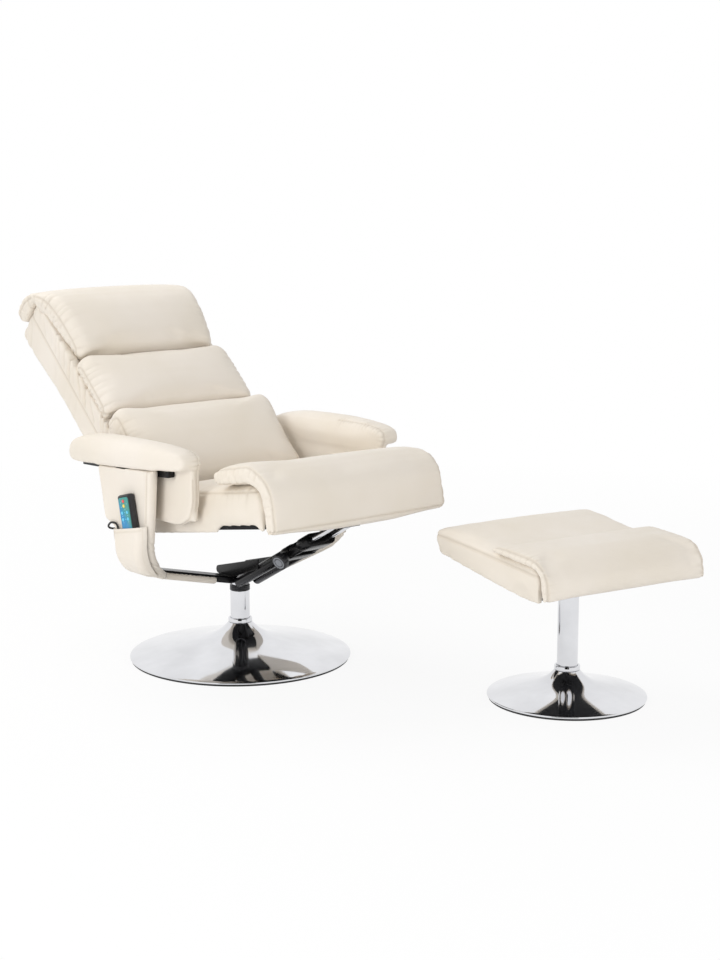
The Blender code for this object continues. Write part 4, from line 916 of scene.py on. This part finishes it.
backSizes = {"front": -0.03, "seam": 0.010, "lumbarWider": 0.011, "rearOut": 0.011, "topOut": 0.016}


def offBase(p):
    return p.y < backSizes["front"] - 0.012


pillowSizes = {
    "roll": 0.034, "flat": -0.04, "base": (-0.058, -0.034), "free": (0.58, 0.66), "foot": 0.04,
    "head": 0.045, "end": 0.07,
}


# Rounds a cushion over its ends, draws the ends in at its base and rounds its end corners
def pillowEnds(half, low, high, lowRound, highRound, slope=0.0, fullness=0.72, drawn=0.012):
    p = pillowSizes

    def shape(x, y, z):
        wide = half + slope * (z - low)
        over = np.clip((np.abs(x) - wide + p["roll"]) / p["roll"], 0, 1)
        sink = (np.minimum(y, p["flat"]) - p["flat"]) * (1 - np.sqrt(1 - fullness * over**2))
        base = drawn * soften(y, *p["base"]) * (1 - soften(z, *p["free"]))
        foot = lowRound * np.clip((low + p["foot"] - z) / p["foot"], 0, 1) ** 2
        head = highRound * np.clip((z - high + p["head"]) / p["head"], 0, 1) ** 2
        reach = soften(np.abs(x), wide - p["end"], wide)
        return x - np.sign(x) * reach * (base + foot + head), y - sink, z
    return shape


backCushion = {"frame": backFrame, "pressure": 4.0, "cap": 0.009, "fill": 0.7}
headCushion = {
    **backCushion, "voxel": 0.0055, "shrink": 0.0012, "heldBy": ["back_shell", "back_board"],
    "before": [pillowEnds(0.218, 0.443, 0.80, 0.007, 0.0, 0.1)],
    "seams": endSeams(
        0.218, 0.005, lambda p: offBase(p) or p.z > 0.69, 0.1, 0.443, depth=0.0020,
        gather=0.0022, pitch=0.021, seed=2.0, stitches=(0.003,),
    ),
}
middleCushion = {
    **backCushion, "voxel": 0.0055, "shrink": 0.0015, "heldBy": ["back_board"],
    "before": [pillowEnds(0.239, 0.238, 0.44, 0.006, 0.022)],
    "seams": endSeams(
        0.240, 0.007, offBase, gather=0.0022, pitch=0.019, reach=0.028, seed=5.0, stitches=(0.003,),
    ),
}


# The lumbar cushion is wider where it passes the left arm
def lumbarEnd(x, y, z):
    return x + backSizes["lumbarWider"] * soften(x, 0.12, 0.235), y, z


lumbarCushion = {
    **backCushion, "voxel": 0.006, "shrink": 0.0015, "heldBy": ["back_board", "back_shell"],
    "before": [pillowEnds(0.241, -0.017, 0.235, 0.0, 0.014, 0.0, 0.15, 0.003)], "after": [lumbarEnd],
    "seams": endSeams(
        0.242, 0.007, offBase, gather=0.0018, reach=0.026, seed=8.0, stitches=(0.003,),
        where=lambda p: 1.0 if p.x < 0 else 0.2,
    ),
}


def shellGather(p):
    side = soften(abs(p.x), 0.205, 0.222) * (1 - 0.7 * soften(p.z, 0.40, 0.52))
    return side * soften(backSizes["seam"] - p.y, 0.001, 0.014)


def shellSlack(p):
    side = soften(abs(p.x), 0.205, 0.225) * soften(p.z, 0.2, 0.6)
    return 0.7 * side * soften(p.y, backSizes["seam"] + 0.004, backSizes["seam"] + 0.02)


# The shell's rear stands off the frame
def shellRear(x, y, z):
    top = backSizes["topOut"] * soften(y, 0.012, 0.03) * soften(z, 0.40, 0.62)
    return x, y + backSizes["rearOut"] * soften(y, 0.016, 0.058) + top, z


backShell = {
    "frame": backFrame, "voxel": 0.0055, "smoothing": 6, "heldBy": [], "fill": 0.4, "before": [shellRear],
    "thinning": 0.3,
    "blocks": [
        boxCorners((-0.2318, -0.0302, -0.03), (0.2318, -0.0192, 0.668)),
        boxCorners((-0.2335, -0.041, -0.01), (-0.205, -0.02, 0.63)),
        boxCorners((0.205, -0.041, -0.01), (0.2335, -0.02, 0.63)),
    ],
    "creases": [
        {"along": (0, 0.9, 1), "pitch": 0.032, "height": 0.0064, "stretch": 0.06, "weight": shellGather,
         "seed": 3.0, "shade": 0.9},
        {"along": (0, 0.8, 1), "pitch": 0.06, "height": 0.0026, "stretch": 0.12, "weight": shellSlack,
         "seed": 6.0, "shade": 0.3},
    ],
    "seams": [
        {"at": (0, backSizes["seam"], 0), "normal": (0, 1, 0), "depth": 0.0018, "stitches": (0.004,),
         "keep": lambda p: abs(p.x) > 0.214 or p.z < -0.03},
    ],
}


# Seat: a thick cushion and a padded roll over its front edge

seatSizes = {
    "rollFront": -0.46, "sides": (0.2456, 0.2622), "stripLow": -0.005, "stripHigh": 0.032, "hem": -0.0045,
    "hang": 0.008, "hangMiddle": 0.005, "lip": 0.010,
    "strips": (((-0.452, -0.436), (-0.452, -0.40)), ((-0.262, 0.006), (-0.31, 0.006))),
}


def rollOutside(p):
    return p.z > 0.104 or p.y < seatSizes["rollFront"] - 0.010


# Strips of the cushion's rim that hang over the edge of its board, all but a short stretch
def seatRim():
    strips = []
    for side in (-1, 1):
        for low, high in seatSizes["strips"]:
            corners = [(side * x, y, seatSizes["stripLow"]) for x in seatSizes["sides"] for y in low]
            corners += [(side * x, y, seatSizes["stripHigh"]) for x in seatSizes["sides"] for y in high]
            strips.append(corners)
    return strips


# Draws the strips' lower edge straight
def seatHem(x, y, z):
    return x, y, z + (seatSizes["hem"] - z) * (1 - soften(z, -0.002, 0.003))


seatCushion = {
    "frame": seatFrame, "voxel": 0.0062, "smoothing": 18, "shrink": 0.001, "pressure": 3.0, "cap": 0.006,
    "heldBy": ["seat_board"], "fill": 0.6, "blocks": seatRim(), "after": [seatHem],
    "seams": [
        {"at": (0, 0, 0.088), "normal": (0, 0, 1), "depth": 0.0018, "gather": 0.0010, "pitch": 0.03,
         "reach": 0.02, "stitches": (0.005,)},
    ],
}


# Lets the roll's front hang over the slide's end, and its lip stand up at the near end
def rollHang(x, y, z):
    hang = seatSizes["hang"] + seatSizes["hangMiddle"] * (1 - soften(np.abs(x), 0.10, 0.22))
    hang *= soften(-y, 0.435, 0.455) * (1 - soften(z, -0.005, 0.05))
    lip = seatSizes["lip"] * soften(-x, 0.10, 0.24) * soften(z, 0.085, 0.115)
    return x, y, z - hang + lip * soften(y, seatSizes["rollFront"], -0.41)


seatFrontRoll = {
    "frame": seatFrame, "voxel": 0.0055, "shrink": 0.0015, "pressure": 4.5, "cap": 0.006,
    "heldBy": ["seat_cushion"], "fill": 0.75, "after": [rollHang],
    "seams": endSeams(
        0.270, 0.011, rollOutside, depth=0.0020, gather=0.0034, pitch=0.024, seed=11.0, stitches=(-0.004,),
        where=lambda p: 0.15 + (0.5 if p.x < 0 else 0.2) * soften(abs(p.x), 0.256, 0.262),
    ) + [
        {"at": (0, 0, -0.006), "normal": (0, 0, 1), "keep": lambda p: p.y < seatSizes["rollFront"] - 0.012,
         "depth": 0.0018, "width": 0.0026, "stitches": (0.0035,)},
    ],
}


# Arms: round pads that run down into flat panels, over side panels that sheathe the carrier

armSizes = {
    "low": 0.212, "rise": 0.3215, "fall": 0.0612, "front": -0.224, "rear": 0.15, "tuck": 0.006,
    "inner": 0.2725, "innerLow": 0.2815, "outer": 0.296, "sides": {"right": (-1, 0.2), "left": (1, 0.22)},
}


# Fills the corner between the pad's inner side and the panel
def armWedge(side):
    p = armSizes
    corners = []
    for y in (p["front"], p["rear"]):
        under = p["rise"] - p["fall"] * y + p["tuck"]
        for x, z in (("inner", under), ("innerLow", p["low"]), ("outer", p["low"]), ("outer", under)):
            corners.append((side * p[x], y, z))
    return corners


def armForm(side):
    seams = [
        {"at": (side * 0.2885, 0, 0), "normal": (side, 0, 0), "keep": lambda p: p.z > 0.24 and p.y < -0.05,
         "depth": 0.0014, "width": 0.0026, "gather": 0.0017, "pitch": 0.014, "reach": 0.016, "seed": 13.0,
         "where": lambda p: soften(p.z, 0.30, 0.35), "stitches": (-0.0045,)},
        {"at": (side * 0.2995, 0, 0), "normal": (side, 0, 0), "keep": lambda p: p.z < 0.316,
         "depth": 0.0012, "width": 0.0024, "stitches": (-0.003,)},
    ]
    return {
        "frame": hubFrame, "voxel": 0.0046, "shrink": 0.002, "pressure": 4.0, "cap": 0.008, "fill": 0.7,
        "blocks": [armWedge(side)], "stiff": lambda spots: 1 - soften(spots[:, 2], 0.285, 0.325),
        "seams": seams,
    }


def bendGather(p):
    return soften(p.z, 0.02, 0.05) * (1 - soften(p.z, 0.14, 0.17)) * soften(abs(p.x), 0.27, 0.30)


def sideForm(low):
    return {
        "frame": hubFrame, "voxel": 0.0032, "smoothing": 5, "heldBy": [], "fill": 0.3,
        "creases": [
            {"along": (0.4, 0, 1), "pitch": 0.017, "height": 0.0022, "stretch": 0.05, "weight": bendGather,
             "seed": 9.0, "shade": 0.6},
        ],
        "seams": [
            {"at": (0, -0.118, 0.32), "normal": (0, 0.997, 0.077), "depth": 0.0012, "width": 0.0022,
             "keep": lambda p: abs(p.x) > 0.352 and p.z > low, "stitches": (0.0035,)},
        ],
    }


# Footstool: a flat cushion and a flap over its front edge

stoolSizes = {
    "front": -0.19, "rear": 0.227, "top": 0.401, "fall": math.tan(math.radians(4.0)),
    "under": 0.325, "underFall": math.tan(math.radians(7.6)), "stripLow": -0.009, "stripHigh": 0.03,
    "hem": -0.008, "hemRise": 0.007,
    "strips": (
        ((-0.2375, -0.219), (-0.187, 0.21)), ((0.219, 0.2375), (-0.187, 0.21)),
        ((-0.22, 0.22), (0.2042, 0.2225)),
    ),
}


def stoolTop(y):
    return stoolSizes["top"] - stoolSizes["fall"] * (stoolSizes["rear"] - y)


def stoolUnder(y):
    return stoolSizes["under"] + y * stoolSizes["underFall"]


def flapOutside(p):
    return p.z > stoolTop(p.y) + 0.002 or p.y < stoolSizes["front"] - 0.006


# Strips of the cushion's rim that hang over the edge of its board
def stoolRim():
    strips = []
    for across, lengthwise in stoolSizes["strips"]:
        corners = []
        for x in across:
            for y in lengthwise:
                corners += [(x, y, stoolUnder(y) + stoolSizes[end]) for end in ("stripLow", "stripHigh")]
        strips.append(corners)
    return strips


# Draws the strips' lower edge straight, and up at the front
def stoolHem(x, y, z):
    hem = stoolUnder(y) + stoolSizes["hem"] + stoolSizes["hemRise"] * soften(-y, 0.13, 0.185)
    rim = np.maximum(soften(np.abs(x), 0.2185, 0.2205), soften(y, 0.2035, 0.2055))
    return x, y, z + (hem - z) * rim * (1 - soften(z - hem, 0.005, 0.012))


stoolCushion = {
    "frame": stoolFrame, "voxel": 0.0058, "shrink": 0.002, "pressure": 3.5, "cap": 0.007,
    "heldBy": ["stool_board"], "fill": 0.65, "blocks": stoolRim(), "after": [stoolHem],
    "seams": [
        {"at": (0, 0, stoolTop(0) - 0.014), "normal": (0, -stoolSizes["fall"], 1), "depth": 0.0016,
         "stitches": (0.0045, -0.0045)},
    ],
}
stoolFrontFlap = {
    "frame": stoolFrame, "voxel": 0.005, "shrink": 0.002, "pressure": 3.5, "cap": 0.007,
    "heldBy": ["stool_cushion"], "fill": 0.65,
    "seams": endSeams(
        0.24, 0.012, flapOutside, depth=0.0018, width=0.0035, gather=0.0010, pitch=0.022, reach=0.018,
        seed=17.0, stitches=(-0.0045, 0.0045),
    ),
}

softForms = {
    "back_shell": backShell, "lumbar_cushion": lumbarCushion, "middle_cushion": middleCushion,
    "head_cushion": headCushion, "seat_cushion": seatCushion, "seat_front_roll": seatFrontRoll,
    "stool_cushion": stoolCushion, "stool_front_flap": stoolFrontFlap,
}
for nodeName, form in softForms.items():
    softPiece(form, nodeName)
for label, (side, low) in armSizes["sides"].items():
    arm = dict(armForm(side), heldBy=["side_panel_" + label, "arm_bracket_" + label])
    softPiece(arm, "arm_pad_" + label, "arm_panel_" + label)
    softPiece(sideForm(low), "side_panel_" + label)
print("soft pieces made")


# Pocket for the handset: a bulged pouch sewn to the right side panel

pocketSizes = {
    "centre": (0.2215, 0.1639), "radius": 0.12, "foot": math.radians(38.7), "mouth": 0.167,
    "mouthRise": 0.028, "shares": (0.0, 0.4, 0.75, 1.0), "depths": (0.0245, 0.031, 0.02325, 0.0008),
    "wall": 0.0026, "edge": 0.0009, "panel": 0.0139, "rows": 72, "columns": 60, "hem": 0.009,
    "across": [0.03 + 0.94 * k / 80 for k in range(81)], "ends": (0.04, 0.985), "inset": 0.005,
    "stitchIn": 0.003, "down": [k / 90 for k in range(86)], "fill": 0.1, "blend": 0.03, "flare": 0.001,
    "bend": (math.radians(13.0), math.radians(77.0)), "front": (0.0385, 0.078, 0.45),
    "rear": (0.033, 0.002), "swell": 0.36, "round": (0.86, 0.14),
    "seam": {"depth": 0.0009, "width": 0.0022, "shade": 0.5},
}


# A point of the pouch: s from its rear edge to its front one, d metres below its mouth
def pocketPoint(s, d, sizes, inside):
    top = sizes["mouth"] + sizes["mouthRise"] * s
    straight = top - sizes["centre"][1]
    heading = math.pi / 2 - max(0.0, d - straight) / sizes["radius"]
    turn = max(0.0, (heading - sizes["bend"][0]) / sizes["bend"][1])
    (front, wider, power), (rear, nearer) = sizes["front"], sizes["rear"]
    front, rear = front + wider * turn**power, rear - nearer * turn
    share = (math.pi / 2 - heading) / (math.pi / 2 - sizes["foot"])
    nearby = [share + sizes["blend"] * k for k in range(-4, 5)]
    depth = float(np.mean(np.interp(nearby, sizes["shares"], sizes["depths"])))
    slope = math.sqrt(max(0.0, 1 - max(0.0, (s - sizes["round"][0]) / sizes["round"][1]) ** 2))
    rise = sizes["edge"] + depth * soften(s, 0.0, sizes["swell"]) * slope
    if inside:
        rise = max(0.0, rise - sizes["wall"])
    reach = sizes["radius"] + sizes["panel"] + sizes["flare"] * turn + rise
    x = sizes["centre"][0] + reach * math.sin(heading)
    z = sizes["centre"][1] - reach * math.cos(heading) + max(0.0, straight - d)
    return hubFrame @ Vector((-x, rear - s * (front + rear), z))


def pocketLength(s, sizes):
    bend = (math.pi / 2 - sizes["foot"]) * sizes["radius"]
    return sizes["mouth"] + sizes["mouthRise"] * s - sizes["centre"][1] + bend


def makePocket(sizes):
    rows, columns = sizes["rows"], sizes["columns"]
    builder = bmesh.new()
    rims = []
    for inside in (False, True):
        grid = []
        for i in range(rows + 1):
            line = [(j / columns, pocketLength(j / columns, sizes) * i / rows) for j in range(columns + 1)]
            grid.append([builder.verts.new(pocketPoint(s, d, sizes, inside)) for s, d in line])
        for high, low in zip(grid, grid[1:]):
            for j in range(columns):
                builder.faces.new((high[j], high[j + 1], low[j + 1], low[j]))
        front, rear = [r[-1] for r in grid[1:-1]], [r[0] for r in grid[-2:0:-1]]
        rims.append(grid[0] + front + grid[-1][::-1] + rear)
    joinRings(builder, [rims])
    bmesh.ops.recalc_face_normals(builder, faces=builder.faces)
    mesh = builtMesh(builder, "handsetPocket")
    # Each point's share of painted shade, filled in by sewing the hem
    mesh.attributes.new("fold", "FLOAT", "POINT")
    piece = addPiece("handsetPocket", mesh, "cream_leather", None)

    def outsideRun(spots):
        return evenRun([pocketPoint(s, d, sizes, False) for s, d in spots])

    across, hem, stitchIn = sizes["across"], sizes["hem"], sizes["stitchIn"]
    sewn(piece, hubFrame, [outsideRun((s, hem) for s in across)], {**plainSeam, **sizes["seam"]})
    lines = [[(s, hem - stitchIn) for s in across]]
    lines += [[(s, stitchIn + pocketLength(s, sizes) * k) for k in sizes["down"]] for s in sizes["ends"]]
    lines.append([(s, pocketLength(s, sizes) - sizes["inset"]) for s in across])
    body = nodes["handset_pocket"]["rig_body"]
    stitchRows.setdefault(body, []).extend(outsideRun(line) for line in lines)
    declareSoft(piece, body, ["handset_pocket"])


makePocket(pocketSizes)


# Handset shell

handsetEdge = 0.0055
machined("handset_shell", handsetEdge)


# Handset marks: small raised signs between the keys, in the handset's own frame

markSizes = {
    "lift": 0.00025, "sink": 0.0003, "size": 0.0016, "turn": 0.5,
    "spots": [
        (0.012, 0.0510, 4), (-0.0125, 0.0465, 3), (0.012, 0.0405, 3), (-0.003, 0.0330, 4), (0.0, 0.0262, 3),
        (-0.011, 0.0185, 3), (0.011, 0.0185, 4), (0.0, 0.0101, 4), (-0.011, 0.0030, 3), (0.011, 0.0030, 3),
    ],
}


def makeMarks(sizes):
    centre = boxMiddle("handset_shell")
    spot = (centre.x, centre.y, hub.z + cordFacts["handset"][1])
    place = Matrix.Translation(spot) @ Matrix.Rotation(-cordFacts["tilt"], 4, "X")
    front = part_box("handset_shell")[0].x - centre.x
    builder = bmesh.new()
    for y, z, corners in sizes["spots"]:
        rings = []
        for x in (front + sizes["sink"], front - sizes["lift"]):
            angles = [a + sizes["turn"] for a in turnAngles(corners)]
            ring = [(x, y + sizes["size"] * math.cos(a), z + sizes["size"] * math.sin(a)) for a in angles]
            rings.append([builder.verts.new(place @ Vector(p)) for p in ring])
        bmesh.ops.convex_hull(builder, input=rings[0] + rings[1])
    bmesh.ops.recalc_face_normals(builder, faces=builder.faces)
    mesh = builtMesh(builder, "handsetMarks", False)
    addPiece("handsetMarks", mesh, "icon_print", nodes["handset_face"]["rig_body"])


makeMarks(markSizes)


# Knob cap: a grey ring round a grey disc on the knob's outer end

capSizes = {
    "disc": 0.0098, "ring": (0.0122, 0.0158), "height": 0.0009, "sink": 0.0008, "edge": 0.0005, "steps": 48,
}


def makeCap(sizes):
    axis = Vector(joints["clamp_knob_turn"]["axis"]).normalized()
    spot = Vector(joints["clamp_knob_turn"]["pos_m"])
    reach = max(axis.dot(v.co - spot) for v in nodes["recline_knob"].data.vertices)
    place = Matrix.Translation(spot + axis * reach) @ axis.to_track_quat("Z", "Y").to_matrix().to_4x4()
    high, low = sizes["height"], -sizes["sink"]
    profiles = {
        "knobDisc": tubeProfile(0, sizes["disc"], low, high),
        "knobRing": tubeProfile(*sizes["ring"], low, high),
    }
    for name, profile in profiles.items():
        mesh = turnedMesh(name, roundedProfile(profile, sizes["edge"]), place, sizes["steps"])
        addPiece(name, mesh, "grey_cap", nodes["recline_knob"]["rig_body"])


makeCap(capSizes)
print("handset marks and knob cap made")


# Stitches: one row maker for every seam

stitchSizes = {"Stitch": 0.0034, "Gap": 0.0016, "Thread": 0.00032}


def stitchTree():
    tree = bpy.data.node_groups.new("stitchRow", "GeometryNodeTree")
    tree.interface.new_socket("Geometry", in_out="INPUT", socket_type="NodeSocketGeometry")
    for name in stitchSizes:
        tree.interface.new_socket(name, in_out="INPUT", socket_type="NodeSocketFloat")
    tree.interface.new_socket("Geometry", in_out="OUTPUT", socket_type="NodeSocketGeometry")
    given = addNode(tree, "NodeGroupInput").outputs
    line = addNode(tree, "GeometryNodeMeshToCurve", {"Mesh": given["Geometry"]}).outputs["Curve"]
    pitch = mathNode(tree, "ADD", given["Stitch"], given["Gap"])
    even = addNode(tree, "GeometryNodeResampleCurve", {"Curve": line, "Length": pitch}, mode="LENGTH")
    tangent = addNode(tree, "GeometryNodeInputTangent").outputs["Tangent"]
    turn = addNode(tree, "FunctionNodeAlignRotationToVector", {"Vector": tangent}, axis="Z")
    bead = addNode(tree, "GeometryNodeMeshUVSphere", {"Segments": 6, "Rings": 5, "Radius": 1.0})
    half = mathNode(tree, "MULTIPLY", given["Stitch"], 0.5)
    size = addNode(tree, "ShaderNodeCombineXYZ", {"X": given["Thread"], "Y": given["Thread"], "Z": half})
    spread = addNode(tree, "GeometryNodeInstanceOnPoints", {
        "Points": even.outputs["Curve"], "Instance": bead.outputs["Mesh"],
        "Rotation": turn.outputs["Rotation"], "Scale": size.outputs["Vector"],
    }).outputs["Instances"]
    real = addNode(tree, "GeometryNodeRealizeInstances", {"Geometry": spread}).outputs["Geometry"]
    thread = {"Geometry": real, "Material": materials["cream_thread"]}
    skin = addNode(tree, "GeometryNodeSetMaterial", thread).outputs["Geometry"]
    addNode(tree, "NodeGroupOutput", {"Geometry": skin})
    return tree


def makeStitches(body, runs, tree, sizes):
    spots, edges = [], []
    for run in runs:
        first = len(spots)
        spots += [tuple(p) for p in run]
        edges += [(first + i, first + i + 1) for i in range(len(run) - 1)]
    mesh = bpy.data.meshes.new("stitchLines")
    mesh.from_pydata(spots, edges, [])
    guide = addObject("stitchLines", mesh)
    row = guide.modifiers.new("stitches", "NODES")
    row.node_group = tree
    for item in tree.interface.items_tree:
        if item.name in sizes:
            row[item.identifier] = sizes[item.name]
    made = plainMesh(guide)
    bpy.data.objects.remove(guide)
    made.shade_smooth()
    piece = addPiece(body + "Stitches", made, "cream_thread", body)
    print(piece.name, len(made.polygons), "faces")


stitches = stitchTree()
for body in sorted(stitchRows):
    makeStitches(body, stitchRows[body], stitches, stitchSizes)


# Floor, lamps and world

stageLook = {
    "floor": 0.92, "drop": -0.0005, "seen": 0.90, "near": 1.2, "far": 3.2, "reach": 40.0, "world": 0.5,
    "card": (3.6, 4.6), "cardFoot": 0.02, "cardFar": 5.4, "cardGrey": 0.002,
    "lamps": {
        "keyLamp": ((-3.7, -1.1, 1.5), (0.0, -0.2, 0.4), 2.4, 65.0),
        "fillLamp": ((0.6, -3.8, 1.6), (0.0, -0.2, 0.4), 2.4, 33.0),
        "topLamp": ((-0.4, 2.2, 3.4), (0.0, 0.0, 0.4), 2.6, 65.0),
    },
}


# 1 for what the camera sees, straight or in chrome and glass
def seenRays(tree):
    path = addNode(tree, "ShaderNodeLightPath").outputs
    total = path["Is Camera Ray"]
    for name in ("Is Glossy Ray", "Is Transmission Ray"):
        total = mathNode(tree, "MAXIMUM", total, path[name])
    return total


def mixShaders(tree, factor, first, second, end):
    blend = addNode(tree, "ShaderNodeMixShader", {"Fac": factor, 1: first.outputs[0], 2: second.outputs[0]})
    tree.links.new(blend.outputs[0], tree.nodes[end].inputs["Surface"])


def flatPiece(name, corners):
    mesh = bpy.data.meshes.new(name)
    mesh.from_pydata(corners, [], [(0, 1, 2, 3)])
    piece = addObject(name, mesh)
    made = bpy.data.materials.new(name)
    made.use_nodes = True
    mesh.materials.append(made)
    return piece, made.node_tree


def makeFloor(look):
    reach, grey = look["reach"], look["floor"]
    corners = [(-reach, -reach, 0), (reach, -reach, 0), (reach, reach, 0), (-reach, reach, 0)]
    floor, tree = flatPiece("floor", corners)
    floor.location.z = look["drop"]
    tree.nodes.remove(tree.nodes["Principled BSDF"])
    plain = addNode(tree, "ShaderNodeBsdfDiffuse", {"Color": (grey, grey, grey, 1)})
    glow = addNode(tree, "ShaderNodeEmission", {"Color": (1, 1, 1, 1), "Strength": 1.0})
    distance = addNode(tree, "ShaderNodeVectorMath", {0: objectCoords(tree)}, operation="LENGTH")
    fade = rangeNode(tree, distance.outputs["Value"], look["seen"], 1.0, look["near"], look["far"])
    mixShaders(tree, mathNode(tree, "MULTIPLY", seenRays(tree), fade), plain, glow, "Material Output")


# A black card behind the camera, seen only in the chrome and the black tubes
def makeCard(look, back):
    wide, tall = look["card"]
    aside = Vector(back).cross(Vector((0, 0, 1))).normalized() * wide / 2
    middle = chairFoot.translation + Vector((back[0], back[1], 0)).normalized() * look["cardFar"]
    low, high = Vector((0, 0, look["cardFoot"])), Vector((0, 0, tall))
    corners = [middle - aside + low, middle + aside + low, middle + aside + high, middle - aside + high]
    card, tree = flatPiece("blackCard", corners)
    grey = look["cardGrey"]
    facts = {"Base Color": (grey, grey, grey, 1), "Specular IOR Level": 0.0}
    feed(tree, tree.nodes["Principled BSDF"], facts)
    setAll(card, {"visible_" + ray: False for ray in ("camera", "diffuse", "transmission", "shadow")})


def makeWorld(look):
    world = bpy.data.worlds.new("studio")
    scene.world = world
    world.use_nodes = True
    tree = world.node_tree
    lamp = tree.nodes["Background"]
    feed(tree, lamp, {"Color": (1, 1, 1, 1), "Strength": look["world"]})
    seen = addNode(tree, "ShaderNodeBackground", {"Color": (1, 1, 1, 1), "Strength": 1.0})
    mixShaders(tree, seenRays(tree), lamp, seen, "World Output")


def makeLamp(name, spot, target, size, energy):
    data = bpy.data.lights.new(name, "AREA")
    setAll(data, {"shape": "DISK", "size": size, "energy": energy})
    lamp = addObject(name, data)
    lamp.location = spot
    lamp.rotation_mode = "QUATERNION"
    lamp.rotation_quaternion = (Vector(target) - Vector(spot)).to_track_quat("-Z", "Y")
    lamp.visible_glossy = False


makeFloor(stageLook)
makeWorld(stageLook)
makeCard(stageLook, cameraLook["back"])
for name, facts in stageLook["lamps"].items():
    makeLamp(name, *facts)
scene.view_settings.view_transform = "Standard"
print("stage made")
